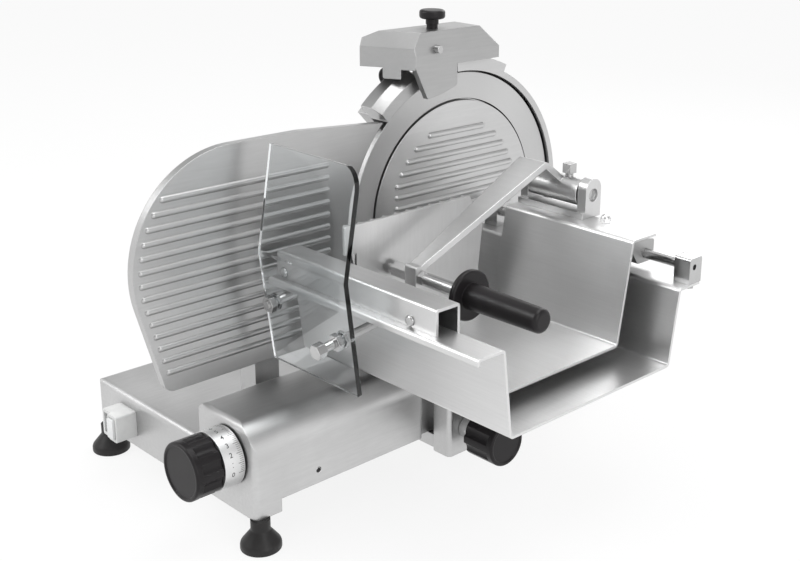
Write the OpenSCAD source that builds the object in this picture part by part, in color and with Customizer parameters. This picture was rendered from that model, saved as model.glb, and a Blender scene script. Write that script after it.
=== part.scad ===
// Electric vertical slicer: a blade between a ribbed thickness plate and a tray
// carriage, on a cast base with four feet.
// It is built with the blade's edge in the plane x = 0, its axis at y = 0, the floor
// at z = 0. The operator stands at -Y and the carriage is on the +X side.

/* [Blade] */
// Diameter of the round blade over its cutting edge
blade_d = 350; // [330:1:354]
// Height of the blade's lower edge above the deck
blade_lift = 19; // [17:1:23]
// Width of the ground bevel, in the radial direction
bevel_w = 36; // [30:1:42]
// Depth of the blade from its edge to its back face
blade_depth = 16; // [14:1:18]

/* [Blade drive] */
// Outer radius of the hollow blade shaft
shaft_r = 15; // [13:0.5:17]
// Outer radius of the two shaft bearings
bearing_r = 26; // [24:0.5:28]
// Radius of the driven pulley on the blade shaft
big_pulley_r = 52; // [46:1:56]
// Radius of the pulley on the motor shaft
small_pulley_r = 19; // [17:1:22]
// Radius of the motor's casing
motor_r = 58; // [50:1:60]
// Length of the motor's casing
motor_len = 96; // [85:1:105]
// Distance of the motor's axis behind the blade's axis
motor_y = 66; // [60:1:72]
// Height of the motor's axis above the deck
motor_rise = 66; // [62:1:70]

/* [Base] */
// Width of the low deck, left of the raised housing
deck_w = 230; // [222:1:245]
// Length of the whole base from front to rear
base_len = 581; // [570:1:600]
// Distance from the blade's axis to the front of the base
base_front = 406; // [402:1:412]
// Height of the deck's top above the floor
deck_top = 98; // [96:1:100]
// Width of the raised housing at the right
housing_w = 103; // [101:1:106]
// Height of the housing's top above the floor
housing_top = 144; // [142:1:148]
// Length of the closed front part of the housing
housing_len = 249; // [235:1:260]
// Radius of the large round along the housing's top right edge
housing_round = 34; // [26:1:38]
// Wall thickness of the base casting
base_wall = 6; // [5:0.5:6.5]
// Height of the gap under the right wall for the carriage's foot
skirt_gap = 15.6; // [15.2:0.2:20]

/* [Feet] */
// Height of one rubber foot
foot_h = 36; // [34:1:38]
// Radius of a foot where it meets the floor
foot_r = 23; // [18:0.5:24]

/* [Thickness setting] */
// Thickness of the ribbed plate
gauge_t = 10; // [8:0.5:11]
// Height of the plate's lower edge above the housing
gauge_lift = 19; // [15:1:24]
// Distance of the ribbed plate's top edge below the blade's top
gauge_below = 39; // [36:1:44]
// Distance from the blade's axis to the plate's far left edge
gauge_reach = 472; // [466:1:480]
// Radius of the plate's round upper left corner
gauge_round = 130; // [115:1:134]
// Largest slice thickness, which is the plate's travel
slice_max = 16; // [12:0.5:16]
// Radius of the knob that sets the slice thickness
index_knob_r = 33.5; // [30:0.5:35]
// Length of that knob
index_knob_len = 33; // [28:1:36]
// Length of the graduated drum behind the knob
drum_len = 25; // [20:1:28]

/* [Carriage] */
// Length of the outer tray along the blade's axis
tray_len = 330; // [325:1:345]
// Width of the outer tray's floor
tray_w = 269; // [266:1:272]
// Distance of the tray's front corner in front of the blade's axis
tray_front = 257; // [254:1:260]
// Height of the tray's floor above the housing
tray_lift = 25; // [23:1:28]
// Thickness of all tray sheet
sheet_t = 3; // [2.5:0.1:3.2]
// Height from the outer tray's floor to its front flange
front_wall_h = 99; // [97:1:102]
// Height from the outer tray's floor to its rear flange
rear_wall_h = 90; // [88:1:92]
// Width of the carriage post, along the blade's axis
post_w = 31; // [28:1:34]
// Depth of the carriage post, along the carriage's travel
post_d = 39; // [36:1:42]
// Radius of the knob that clamps the carriage
clamp_knob_r = 27.5; // [24:0.5:28]
// Length of that knob
clamp_knob_len = 45; // [38:1:48]
// Radius of the round bar that the carriage runs on
rail_r = 10; // [9:0.5:11]

/* [Front channel] */
// Length of the channel on the tray's front flange
channel_len = 257; // [240:1:262]
// Height of that channel
channel_h = 29; // [26:1:30]

/* [Feed tray] */
// Length of the outer tray beyond the sliding feed tray
feed_short = 131; // [126:1:140]
// Height of the feed tray's floor above the outer tray's
feed_lift = 17; // [15:0.5:18]
// Height from the feed tray's floor to its rear flange
feed_wall_h = 122.5; // [121.5:0.5:125]
// Radius of the rod that the feed tray slides on
slide_rod_r = 6; // [5:0.5:6.5]

/* [Press arm] */
// Outer radius of the arm's hinge tube
hinge_tube_r = 16.5; // [15:0.5:17]
// Length of the hinge tube
hinge_tube_len = 77; // [70:1:84]
// Width of the arm at its peak
arm_w = 42; // [36:1:46]
// Thickness of the arm's plate
arm_t = 8; // [6:0.5:9]
// Radius of the handle's steel rod
handle_rod_r = 8; // [7:0.5:9]
// Radius of the black disc that guards the fingers
disc_r = 29; // [25:0.5:31]
// Largest radius of the black grip
grip_r = 15; // [13:0.5:16]
// Length of the black grip
grip_len = 104; // [90:1:110]

/* [Hand guard] */
// Thickness of the clear guard sheet
guard_t = 6; // [5:0.5:8]
// Width of the guard sheet along the blade's axis
guard_w = 147; // [140:1:155]
// Distance from the tray's front wall to the middle of the sheet
guard_gap = 56; // [52:1:60]

/* [Sharpener] */
// Radius of the sharpener's top knob
sharp_knob_r = 16; // [13:0.5:17]
// Distance that the sharpener lifts off the blade
sharp_lift = 12; // [8:1:12]

/* [Hidden] */
$fn = 64;
over = 1;                 // how far a cut or a joined piece runs past a face
seat = 0.3;               // gap between pieces of two bodies that lie face to face
run = 0.05;               // radial clearance of a shaft in its bore
fit = 0.02;               // radial clearance of a piece that is held in its bore
slip = 0.5;               // side clearance of a piece in a slot
steps = 8;                // straight pieces in one rounded corner
fine_steps = 18;          // the same in a large corner
round_fn = 128;           // pieces of the largest circles

// Smaller sizes
cover_rib_pitch = 14.3;
housing_gap = 4;
gauge_rib_pitch = 15;
gauge_blade_gap = 3;
gauge_lean = 15.6;
channel_w = 34;
feed_lean = 21;
feed_flange_w = 40;
front_flange_w = 33;
rear_flange_w = 36;
tray_gap = 10;
wall_lean = 13;
guard_back = 20;
arm_tip_w = 18;
tooth_pitch = 18;
pusher_t = 4;
brow_h = 15;
roof_h = 27;
blade_web = 6;
blade_bore_r = 20;
cover_plate_t = 5;
cover_rib_count = 15;
shaft_bore_r = 6;
bearing_w = 12;
belt_t = 4.5;
pulley_w = 16;
tunnel_inset = 8;
foot_block_len = 35;
foot_neck_r = 11;
foot_inset = 9;
foot_side_inset = 5;
gauge_skin = 5;
index_shaft_r = 7;
channel_t = 3.5;
hinge_pin_r = 5;
tooth_depth = 4.5;
pin_r = 5;
stone_r = 16;

// Blade and cover
blade_r = blade_d / 2;
axis_z = deck_top + blade_lift + blade_r;
cover_r = blade_r - bevel_w;
cover_play = 0.5;
cover_plate_r = cover_r - cover_play;
cover_face_x = -2.5;
cover_back_x = cover_face_x - cover_plate_t;
cover_rib_r = 3.9;
cover_rib_out = 3;
cover_rib_edge = 28;
cover_rib_side = 36;
edge_flat = 0.4;
rim_back = 7;
web_face_x = blade_web - blade_depth;
blade_dish = 4;
blade_back_w = 30;

// Shaft, bearings, pulleys, motor
flange_r = 40;
flange_t = 8;
flange_x = -blade_depth - flange_t;
flange_gap = 3;
housing_face_x = flange_x - flange_gap;
housing_plate_t = 19;
housing_back_x = housing_face_x - housing_plate_t;
hub_wall = 10;
hub_r = bearing_r + hub_wall;
hub_depth = 51;
hub_back_x = housing_face_x - hub_depth;
bearing_lip = 1.5;
belt_plate_t = 4;
pulley_gap = 2;
pulley_x = hub_back_x - belt_plate_t - pulley_gap - pulley_w;
pulley_rim = 1.5;
belt_side = 2;
belt_w = pulley_w - 2 * belt_side;
belt_gap = 0.3;
belt_room = 3;
belt_wall = 3;
belt_back_gap = 8;
belt_back_x = pulley_x - belt_back_gap;
shaft_end_x = belt_back_x + belt_wall + over;
motor_z = deck_top + motor_rise;
motor_left = belt_back_x - motor_len;
motor_shaft_r = 7;
motor_cap_len = 14;
motor_foot_w = 70;
motor_foot_len = 60;
motor_foot_h = 25;
motor_fin_count = 18;
motor_fin_t = 2.5;
motor_fin_h = 5;
pulley_distance = norm([motor_y, motor_z - axis_z]);
pulley_angle = atan2(motor_z - axis_z, motor_y);
tie_rod_r = shaft_bore_r - slip;
rod_knob_r = 17;
rod_knob_len = 20;

// Housing behind the blade and its rim guards
rim_gap = 2.5;
rim_in_r = blade_r + rim_gap;
rim_w = 8;
rim_out_r = rim_in_r + rim_w;
rim_front_x = 5;
rim_low_angle = -25;
rim_high_angle = 92;
brow_angle = 65;
rim_brow_w = 10;
rim_brow_back = -18;
rim_left_angle = 113;
rim_left_in_r = blade_r + 3;
rim_left_lift = 3;
rim_left_face = 15;
rim_left_w = 24;
rim_left_slope = 13;
disc_back_in = 25;
disc_back_r = blade_r - disc_back_in;
pedestal_low_w = 120;
plinth_w = 150;
plinth_t = 10;
plinth_out = 6;
housing_rib_count = 8;
housing_rib_t = 6;
housing_rib_depth = 12;

// Base and feet
base_left = housing_gap - deck_w;
base_y = -base_front;
base_rear = base_len - base_front;
housing_right = housing_gap + housing_w;
tunnel_right = housing_right - tunnel_inset;
tunnel_y = base_y + housing_len;
edge_round = 8;
corner_round = 12;
right_corner = 7;
boss_r = 5;
boss_h = 24;
stud_r = 3;
stud_len = 20;
cover_t = 2;
divider_w = 6;
divider_h = 10;
oil_hole_r = 3.5;
oil_hole_y = base_y + 87;
gland_r = 8;
gland_bore_r = 4;
gland_x = base_left + 76;
gland_z = foot_h + 26;
gland_nut_r = 13;
gland_nut_t = 8;
gland_len = 16;
foot_rim = 2;
foot_rim_h = 8;
foot_waist = 23;
foot_curve = 3;
foot_bell = 8;
foot_places = [
  [base_left + foot_inset, base_y + foot_inset],
  [housing_right - foot_side_inset, base_y + foot_inset],
  [base_left + foot_inset, base_rear - foot_inset],
  [tunnel_right - foot_side_inset, base_rear - foot_inset],
];

// Rail and track of the carriage
rail_x = housing_gap + 40;
rail_z = foot_h + 32;
rail_bury = 2;
rail_boss_r = rail_r + 5;
rail_boss_len = 18;
track_w = 8;
track_h = 10;
track_x = tunnel_right - 21;
track_z = foot_h + boss_h + 2;

// Ribbed plate
gauge_face_x = -3;
gauge_back_x = gauge_face_x - gauge_t;
gauge_z = housing_top + gauge_lift;
gauge_top = axis_z + blade_r - gauge_below;
gauge_h = gauge_top - gauge_z;
gauge_mid_y = gauge_round - gauge_reach;
gauge_mid_z = gauge_top - gauge_round;
gauge_corner_y = gauge_mid_y - gauge_round / tan((90 - gauge_lean) / 2);
gauge_low_round = 12;
gauge_right_share = 4 / 7;
gauge_right_y = -blade_r * gauge_right_share;
gauge_bend_run = 150;
gauge_bend_y = gauge_right_y - gauge_bend_run;
gauge_drop = 10;
gauge_rib_r = 3.7;
gauge_rib_out = 2.6;
gauge_rib_low = 23.5;
gauge_rib_z = gauge_z + gauge_rib_low;
gauge_rib_count = floor((gauge_h - 2 * gauge_rib_low) / gauge_rib_pitch);
gauge_rib_edge = 6;
gauge_rib_gap = 31;
gauge_rib_end = -blade_r - gauge_blade_gap - gauge_rib_gap;
gauge_frame = 9;
rim_left_end = 180 - asin((gauge_top - gauge_drop + rim_left_lift - axis_z) / rim_left_in_r);
gauge_outline = [
  [gauge_right_y, gauge_z, 0],
  [gauge_right_y, gauge_top - gauge_drop, 0],
  [gauge_bend_y, gauge_top, 0],
  [gauge_corner_y, gauge_top, gauge_round],
  [gauge_corner_y + gauge_h * tan(gauge_lean), gauge_z, gauge_low_round],
];

// Carrier of the ribbed plate and its guide bars
arm_back_x = gauge_back_x - 30;
arm_y = -316;
arm_d = 34;
arm_top = gauge_z + 90;
arm_pad = 8;
bar_r = 6;
bar_z = foot_h + 28;
bar_y1 = arm_y + 4;
bar_y2 = bar_y1 + 26;
web_t = 10;
web_right_x = housing_gap;
web_left_x = -112;
web_low = foot_h + 14;
web_edge = 16;
carrier_left = arm_back_x - 21;
carrier_h = 28;
carrier_edge = 12;
slot_gap = 3;

// Thickness knob, drum and scroll
index_x = housing_gap + 56;
index_z = deck_top + 3;
drum_r = index_knob_r + 0.5;
drum_gap = 2;
drum_back_y = base_y - drum_gap;
knob_gap = 1.5;
knob_back_y = drum_back_y - drum_len - knob_gap;
knob_front_y = knob_back_y - index_knob_len;
knob_core_r = 17;
knob_stub_r = 3.5;
knob_rim = 8;
knob_round = 2.5;
knob_land = 4;
knob_edge = 0.8;
knob_dish = 1.2;
flute_count = 10;
flute_r = 10;
flute_out = 7;
index_boss_r = 14;
index_boss_len = 18;
scroll_y = base_y + 24;
scroll_t = 9;
scroll_r = 24;
scroll_start = 4;
follower_r = 3;
follower_depth = 3.5;
groove_gap = 0.15;
groove_steps = 40;
index_turn = 300;
link_gap = 2.5;
link_y = scroll_y + scroll_t + link_gap;
link_d = 8;
link_z = rail_z + rail_r + link_gap;
link_h = 9;
link_w = 12;

// Switch
switch_x = base_left + 55;
switch_w = 37;
switch_z = foot_h + 14;
switch_h = 34;
switch_d = 24;
switch_round = 3;
button_w = 13;
button_h = 25;
button_t = 7;
button_round = 1.5;
button_travel = 3;
start_recess = 3;
stop_out = 3;
button_edge = 4;
start_x = switch_x + button_edge;
stop_x = switch_x + switch_w - button_edge - button_w;
button_z = switch_z + (switch_h - button_h) / 2;
start_face_y = base_y - switch_d + start_recess;
stop_face_y = base_y - switch_d - 2 * stop_out;

// Carriage
tray_right = tray_gap + tray_len;
tray_z = housing_top + tray_lift;
tray_y = -tray_front;
tray_rear = tray_y + tray_w;
bend = 6;
small_bend = 2;
lip_bend = 1;
lip_h = 5;
flange_z = tray_z + front_wall_h;
rear_flange_z = tray_z + rear_wall_h;
rear_lean = 14;
lean_angle = atan(wall_lean / front_wall_h);
post_x = housing_right + 3;
post_y = -147;
post_round = 6;
foot_low = foot_h - 3;
foot_high = foot_h + skirt_gap - 1.5;
bush_t = 3;
bush_r = rail_r + bush_t;
hold_r = bush_r + 4;
hold_len = 118;
hold_y = -184;
bush_len = 30;
saddle_x = rail_x - 14;
saddle_w = 28;
plate_t = 12;
plate_short = 140;
plate_len = tray_len - plate_short;
plate_front = -170;
plate_w = 110;
plate_round = 10;
gusset_low = 40;
gusset_reach = 90;
shoe_side = 5;
clamp_z = foot_h + 30;
clamp_y = post_y + 29;
clamp_screw_r = 6;
collar_r = 14;
collar_t = 12;
clamp_nut_r = 9;
clamp_nut_t = 10.5;
clamp_x = post_x + post_w + seat + collar_t;
clamp_knob_x = clamp_x + clamp_nut_t;
clamp_flutes = 8;

// Front channel and its screws
channel_x = tray_gap + 4;
channel_y = tray_y - wall_lean - 26;
channel_z = flange_z + sheet_t;
channel_top = channel_z + channel_h;
channel_hook = 9;
channel_bend = 4;
screw_z = channel_z + 7;
screw_r = 2.5;
screw_head_r = 6;
screw_head_h = 3;
screw_round = 2.4;
screw_len = 12;
screw_edge = 13;
screw_pitch = 206;

// Slide rod and its blocks
slide_behind = 38;
slide_y = tray_rear + slide_behind;
slide_z = rear_flange_z + sheet_t + 20;
block_w = 22;
block_behind = 29;
block_front = tray_rear + block_behind;
block_d = 23;
block_h = 31;
block_round = 3;
block_left_x = tray_gap + 2;
block_right_x = tray_right - block_w;
rod_bury = 16;
rod_hole_r = 3.5;
slide_rod_x = block_left_x + block_w - rod_bury;
slide_rod_len = block_right_x - block_left_x - block_w + 2 * rod_bury;
bolt_r = 3;
bolt_y = slide_y + 7;
bolt_head_r = 6;
bolt_head_h = 6;
bolt_bury = 8;

// Feed tray
feed_len = tray_len - feed_short;
feed_x = tray_gap + 83;
feed_z = tray_z + sheet_t + feed_lift;
feed_front_in = 14;
feed_rear_in = 36;
feed_front = tray_y + feed_front_in;
feed_rear = tray_rear - feed_rear_in;
feed_lip = 7;
feed_flange_z = feed_z + feed_wall_h;
feed_top = feed_flange_z + sheet_t;
feed_flange_y = feed_rear + feed_lean;
feed_flange_end = feed_flange_y + feed_flange_w;
bearing_short = 49;
bearing_len = feed_len - bearing_short;
bearing_x = feed_x + 27;
bearing_wall = 9;
bearing_drop = 4.5;
bearing_neck = 19;
glide_x = feed_x + 17;
glide_short = 39;
glide_len = feed_len - glide_short;
glide_y = feed_front + 8;
glide_w = 20;
dome_x = feed_x + 131;
dome_y = feed_flange_y + 31;
dome_r = 7;
dome_h = 5;

// Hinge bracket and press arm
hinge_y = feed_flange_y + 36;
hinge_z = feed_flange_z + 30.5;
bracket_x = feed_x + 2;
bracket_y = feed_flange_y + 17;
bracket_d = 23;
bracket_h = 7.5;
ear_left_w = 12;
ear_right_w = 13;
ear_half = 14;
ear_round = 13.7;
ear_left_rise = 11;
ear_right_rise = 20;
ear_gap = 1.5;
tube_x = bracket_x + ear_left_w + ear_gap;
ear_right_x = tube_x + hinge_tube_len + ear_gap;
bracket_w = ear_right_x + ear_right_w - bracket_x;
pin_end = 3;
recess_r = 8;
recess_depth = 4;
arm_mid_x = tube_x + 27.5;
peak_y = feed_flange_y - 2;
peak_z = hinge_z + 40;
peak_bend = 9;
handle_in = 62;
handle_y = tray_y + handle_in;
handle_z = 276;
block_half = 9;
arm_block_top = 14;
arm_block_low = 13;
tip_shift = 3;
tip_x = arm_mid_x - tip_shift - arm_tip_w / 2;
strap_in = 5;
lock_x = tube_x + 52.5;
lock_r = 5;
lock_depth = 8;
lock_head = 12;
lock_head_h = 12;
lock_neck = 4;

// Pusher, handle rod and grip
pusher_x = feed_x - seat - pusher_t;
pusher_back_x = pusher_x + pusher_t;
pusher_reach = 5;
pusher_front = tray_y - pusher_reach;
pusher_step_z = 305;
pusher_step = 14;
pusher_low = tray_z + sheet_t + 4;
pusher_top = 338;
pusher_rear_in = 59;
pusher_rear = tray_rear - pusher_rear_in;
pusher_top_in = 23;
pusher_top_end = pusher_rear - pusher_top_in;
pusher_rear_z = 300;
pusher_waist_in = 6;
pusher_waist = pusher_rear - pusher_waist_in;
pusher_waist_z = 244;
tooth_w = 9;
thin_rod_r = handle_rod_r - 2;
stub_r = handle_rod_r - 3.5;
left_nut_r = 10;
left_nut_t = 24;
right_nut_r = 9;
right_nut_t = 9;
left_nut_x = tip_x - seat - left_nut_t;
right_nut_x = tip_x + arm_tip_w + seat;
disc_t = 8;
handle_reach = 62;
disc_x = right_nut_x + right_nut_t + handle_reach;
grip_taper = 1.5;
grip_round = 5;
stub_len = 90;

// Hand guard
guard_x = tray_gap + 18;
guard_low = 187;
guard_kink = 318;
guard_rise = 119;
guard_bend = 14;
guard_corner = 25;
pin_low_x = 155;
pin_low_z = 248;
pin_low_len = 92;
pin_high_x = 42;
pin_high_z = 260;
nut_r = 10;
nut_t = 7;
jam_nut_t = 3.5;
end_nut_t = 11;
end_nut_r = 9;

// Sharpener
sharp_lift_gap = 17;
sharp_z = axis_z + blade_r + sharp_lift_gap;
brow_top = sharp_z + brow_h;
sharp_top = brow_top + roof_h;
sharp_right = 20;
sharp_rear = 52;
sharp_left = -75;
sharp_front = -128;
sharp_side_front = -92;
sharp_nose_x = -41;
sharp_heel_x = -40;
sharp_heel_y = -70;
sharp_plan = [
  [sharp_right, sharp_side_front],
  [sharp_right, sharp_rear],
  [sharp_heel_x, sharp_rear],
  [sharp_left, sharp_heel_y],
  [sharp_nose_x, sharp_front],
];
sharp_edge = [sharp_right - sharp_nose_x, sharp_side_front - sharp_front];
sharp_reach = sharp_rear - sharp_front;
front_ridge = 9;
roof_in = 6;
roof_left_in = 44;
roof_rear_in = 30;
roof_front_in = 14;
leg_from = 29;
leg_notch = 52;
leg_drop = 13.5;
leg_notch_drop = 2;
sharp_wall = 4;
lobe_t = 8;
lobe_w = 70;
lobe_tip = 20;
lobe_dip = 14;
lobe_rise = 8;
lobe_low = axis_z + blade_r - lobe_dip;
lobe_round = 5;
post_rod_r = 8;
post_boss_r = 13;
post_rod_x = housing_face_x - post_boss_r - 1;
post_rod_y = 15;
post_boss_top = sharp_z - 3;
post_top = brow_top + 6;
post_bury = 30;
sleeve_r = 12;
knob_x = -5;
knob_y = -42;
knob_stem_r = 8;
knob_shaft_r = 7;
knob_collar_r = 10;
knob_rise = 7;
knob_head_h = 11;
knob_head_round = 3.5;
knob_push = 5;
guide_len = 14;
stone_t = 10;
stone_z = sharp_z + 3;
stone_bury = 2;
push_y = knob_y - 15;
push_z = brow_top + 6;
push_r = 4.5;
push_out = 6;
push_end_x = sharp_right + push_out;
push_guide_x = 4.3;
push_guide_wall = 2;
hone_r = 7.5;
hone_t = 6;
hone_x = push_guide_x - seat - hone_t;
lock_knob_x = -60;
lock_knob_z = sharp_z - 22;
lock_knob_r = 11;
lock_knob_len = 15;
lock_knob_rim = 5;
lock_flutes = 6;
lock_shank_r = 4;
lock_shank_len = 10;
lock_boss_half = 8;
lock_boss_y = -58;
lock_boss_d = 12;

// Place of the model: its origin is below the middle of its box
x_min = base_left + foot_inset - foot_r;
x_max = tray_right;
y_min = -gauge_reach;
y_max = max(rim_out_r, base_rear + gland_len);
mid_x = (x_min + x_max) / 2;
mid_y = (y_min + y_max) / 2;

alu = [0.78, 0.80, 0.81];
steel = [0.72, 0.74, 0.75];
bright = [0.86, 0.87, 0.88];
black = [0.13, 0.12, 0.12];
clear = [0.80, 0.88, 0.90, 0.45];
pale = [0.88, 0.88, 0.86];

// Unit vector along a vector
function unit(v) = v / norm(v);

// A direction turned a quarter to its left
function left_of(v) = [-v[1], v[0]];

// Points of one rounded corner p between its neighbours a and b
function corner(a, p, b, r, n) =
  r == 0 ? [p] :
  let (
    u = unit(a - p),
    v = unit(b - p),
    half = acos(u * v) / 2,
    middle = p + unit(u + v) * r / sin(half),
    from = p + u * r / tan(half) - middle,
    to = p + v * r / tan(half) - middle,
    start = atan2(from[1], from[0]),
    full = atan2(to[1], to[0]) - start,
    turn = full > 180 ? full - 360 : full < -180 ? full + 360 : full
  )
  arc(middle, r, start, start + turn, n);

// Points of an arc
function arc(middle, r, from, to, n) =
  [for (i = [0:n]) middle + r * [cos(from + (to - from) * i / n), sin(from + (to - from) * i / n)]];

function flat(p) = [p[0], p[1]];

// Closed outline with rounded corners, from points of [place, place, radius]
function rounded(points, n = steps) =
  let (count = len(points))
  [for (i = [0:count - 1])
    each corner(flat(points[(i + count - 1) % count]), flat(points[i]),
      flat(points[(i + 1) % count]), points[i][2], n)];

// Open path with rounded corners, from points of the same kind
function rounded_path(points, n = steps) =
  let (last = len(points) - 1)
  [for (i = [0:last])
    each i == 0 || i == last ? [flat(points[i])] :
      corner(flat(points[i - 1]), flat(points[i]), flat(points[i + 1]), points[i][2], n)];

// Step from a point to the line a unit to the left of its two stretches
function mitre(before, after) =
  let (m = unit(left_of(unit(before)) + left_of(unit(after))))
  m / (m * left_of(unit(before)));

// Outline of a bent sheet on the left of an open path
function sheet(path, t) =
  let (last = len(path) - 1)
  concat(path, [for (k = [0:last])
    let (i = last - k)
    path[i] + t * mitre(i == 0 ? path[1] - path[0] : path[i] - path[i - 1],
      i == last ? path[last] - path[last - 1] : path[i + 1] - path[i])]);

// Convex outline drawn inward, its points counterclockwise
function inset(points, d) =
  let (count = len(points))
  [for (i = [0:count - 1])
    points[i] + d * mitre(points[i] - points[(i + count - 1) % count],
      points[(i + 1) % count] - points[i])];

// Outline of a belt round both pulleys, at these radii
function belt_line(r1, r2) =
  let (wrap = acos((r1 - r2) / pulley_distance))
  concat(
    arc([0, axis_z], r1, pulley_angle + wrap, pulley_angle - wrap + 360, 2 * fine_steps),
    arc([motor_y, motor_z], r2, pulley_angle - wrap, pulley_angle + wrap, fine_steps));

// Moves a piece from the blade's frame to the whole machine's
module place() {
  translate([-mid_x, -mid_y, 0]) children();
}

// Plate of thickness t from x, its outline drawn in Y and Z
module yz_plate(x, t) {
  translate([x, 0, 0]) rotate([90, 0, 90]) linear_extrude(t) children();
}

// Plate of thickness t from y, its outline drawn in X and Z
module xz_plate(y, t) {
  translate([0, y + t, 0]) rotate([90, 0, 0]) linear_extrude(t) children();
}

// Round bar along X, from x
module rod_x(x, y, z, len, r) {
  translate([x, y, z]) rotate([0, 90, 0]) cylinder(h = len, r = r);
}

// Round bar along Y, from y
module rod_y(x, y, z, len, r) {
  translate([x, y, z]) rotate([-90, 0, 0]) cylinder(h = len, r = r);
}

// Round bar along Z, from z
module rod_z(x, y, z, len, r) {
  translate([x, y, z]) cylinder(h = len, r = r);
}

// Round bar along Y with round ends, from low to high
module capsule_y(x, z, low, high, r) {
  translate([x, low, z]) rotate([-90, 0, 0]) rotate_extrude() intersection() {
    union() {
      square([r, high - low]);
      circle(r = r);
      translate([0, high - low]) circle(r = r);
    }
    translate([0, -r]) square([r, high - low + 2 * r]);
  }
}

// Box between two corners
module box(low, high) {
  translate(low) cube(high - low);
}

// Block whose top edges and upright corners are rounded
module rounded_block(low, high, left_r, right_r, end_r, left_corner, right_corner) {
  intersection() {
    xz_plate(low[1], high[1] - low[1])
      polygon(rounded([[low[0], low[2], 0], [high[0], low[2], 0],
        [high[0], high[2], right_r], [low[0], high[2], left_r]], fine_steps));
    yz_plate(low[0], high[0] - low[0])
      polygon(rounded([[low[1], low[2], 0], [high[1], low[2], 0],
        [high[1], high[2], end_r], [low[1], high[2], end_r]]));
    translate([0, 0, low[2]]) linear_extrude(high[2] - low[2])
      polygon(rounded([[low[0], low[1], left_corner], [high[0], low[1], right_corner],
        [high[0], high[1], right_corner], [low[0], high[1], left_corner]]));
  }
}

// Low deck of the base, drawn in by the wall for its hollow
module deck_block(wall, low, reach) {
  rounded_block([base_left + wall, base_y + wall, low],
    [housing_gap + base_wall + reach, base_rear - wall, deck_top - wall],
    edge_round - wall, 0, edge_round - wall, corner_round - wall, 0);
}

// Raised housing of the base, drawn in by the wall for its hollow
module housing_block(right, rear, wall, low) {
  rounded_block([housing_gap + wall, base_y + wall, low],
    [right - wall, rear - wall, housing_top - wall],
    edge_round - wall, housing_round - wall, edge_round - wall, 0, right_corner - wall);
}

// Inner webs, bosses and the low divider of the base
module base_inside() {
  inner = base_wall / 2;
  for (p = foot_places)
    rod_z(p[0], p[1], foot_h, boss_h, boss_r);
  for (x = [web_left_x, web_right_x - web_t])
    box([x, bar_y1 - web_edge, web_low], [x + web_t, bar_y2 + web_edge, deck_top - inner]);
  box([housing_gap - divider_w, base_y + inner, foot_h + cover_t],
    [housing_gap, base_rear - inner, foot_h + cover_t + divider_h]);
  rod_y(index_x, base_y + inner, index_z, index_boss_len - inner, index_boss_r);
  rod_y(rail_x, base_y + inner, rail_z, rail_boss_len - inner, rail_boss_r);
  rod_y(rail_x, base_rear - rail_boss_len, rail_z, rail_boss_len - inner, rail_boss_r);
}

module base_casting() {
  place() color(alu) difference() {
    union() {
      difference() {
        union() {
          deck_block(0, foot_h, 0);
          housing_block(housing_right, tunnel_y, 0, foot_h);
          housing_block(tunnel_right, base_rear, 0, foot_h);
        }
        deck_block(base_wall, foot_h - over, over);
        housing_block(housing_right, tunnel_y, base_wall, foot_h - over);
        housing_block(tunnel_right, base_rear, base_wall, foot_h - over);
      }
      base_inside();
    }
    box([tunnel_right - base_wall - over, base_y + foot_block_len, foot_h - over],
      [housing_right + over, base_rear - foot_block_len, foot_h + skirt_gap]);
    box([arm_back_x - slice_max - slot_gap, arm_y - slot_gap, deck_top - base_wall - over],
      [gauge_back_x + slot_gap, arm_y + arm_d + slot_gap, deck_top + over]);
    rod_y(index_x, base_y - over, index_z, index_boss_len + 2 * over, index_shaft_r + run);
    rod_y(rail_x, base_y + base_wall - rail_bury, rail_z,
      base_len - 2 * (base_wall - rail_bury), rail_r + fit);
    for (y = [bar_y1, bar_y2])
      rod_x(web_left_x - over, y, bar_z, web_right_x - web_left_x + 2 * over, bar_r + fit);
    for (p = foot_places)
      rod_z(p[0], p[1], foot_h - over, stud_len + over, stud_r + fit);
    rod_x(housing_right - base_wall - over, oil_hole_y, rail_z, base_wall + 2 * over, oil_hole_r);
    rod_y(gland_x, base_rear - base_wall - over, gland_z, base_wall + 2 * over, gland_r + fit);
    box([track_x, base_y + base_wall - rail_bury, track_z],
      [track_x + track_w, base_rear - base_wall + rail_bury, track_z + track_h]);
  }
}

module bottom_cover() {
  place() color(steel) difference() {
    box([base_left + base_wall + seat, base_y + base_wall + seat, foot_h],
      [housing_gap, base_rear - base_wall - seat, foot_h + cover_t]);
    for (p = foot_places)
      rod_z(p[0], p[1], foot_h - over, cover_t + 2 * over, foot_neck_r + seat);
  }
}

// Bell-shaped rubber foot with its stud
module foot(p) {
  place() color(black) translate([p[0], p[1], 0]) union() {
    rotate_extrude()
      polygon(rounded([[0, 0, 0], [foot_r, 0, foot_rim], [foot_r, foot_rim_h, foot_bell],
        [foot_neck_r, foot_waist, foot_curve], [foot_neck_r, foot_h, 0], [0, foot_h, 0]]));
    rod_z(0, 0, foot_h - over, stud_len + over - seat, stud_r);
  }
}

module foot_front_left() {
  foot(foot_places[0]);
}

module foot_front_right() {
  foot(foot_places[1]);
}

module foot_rear_left() {
  foot(foot_places[2]);
}

module foot_rear_right() {
  foot(foot_places[3]);
}

module carriage_rail() {
  place() color(bright)
    rod_y(rail_x, base_y + base_wall - rail_bury, rail_z,
      base_len - 2 * (base_wall - rail_bury), rail_r);
}

module guide_track() {
  place() color(bright)
    box([track_x, base_y + base_wall - rail_bury, track_z],
      [track_x + track_w, base_rear - base_wall + rail_bury, track_z + track_h]);
}

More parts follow.
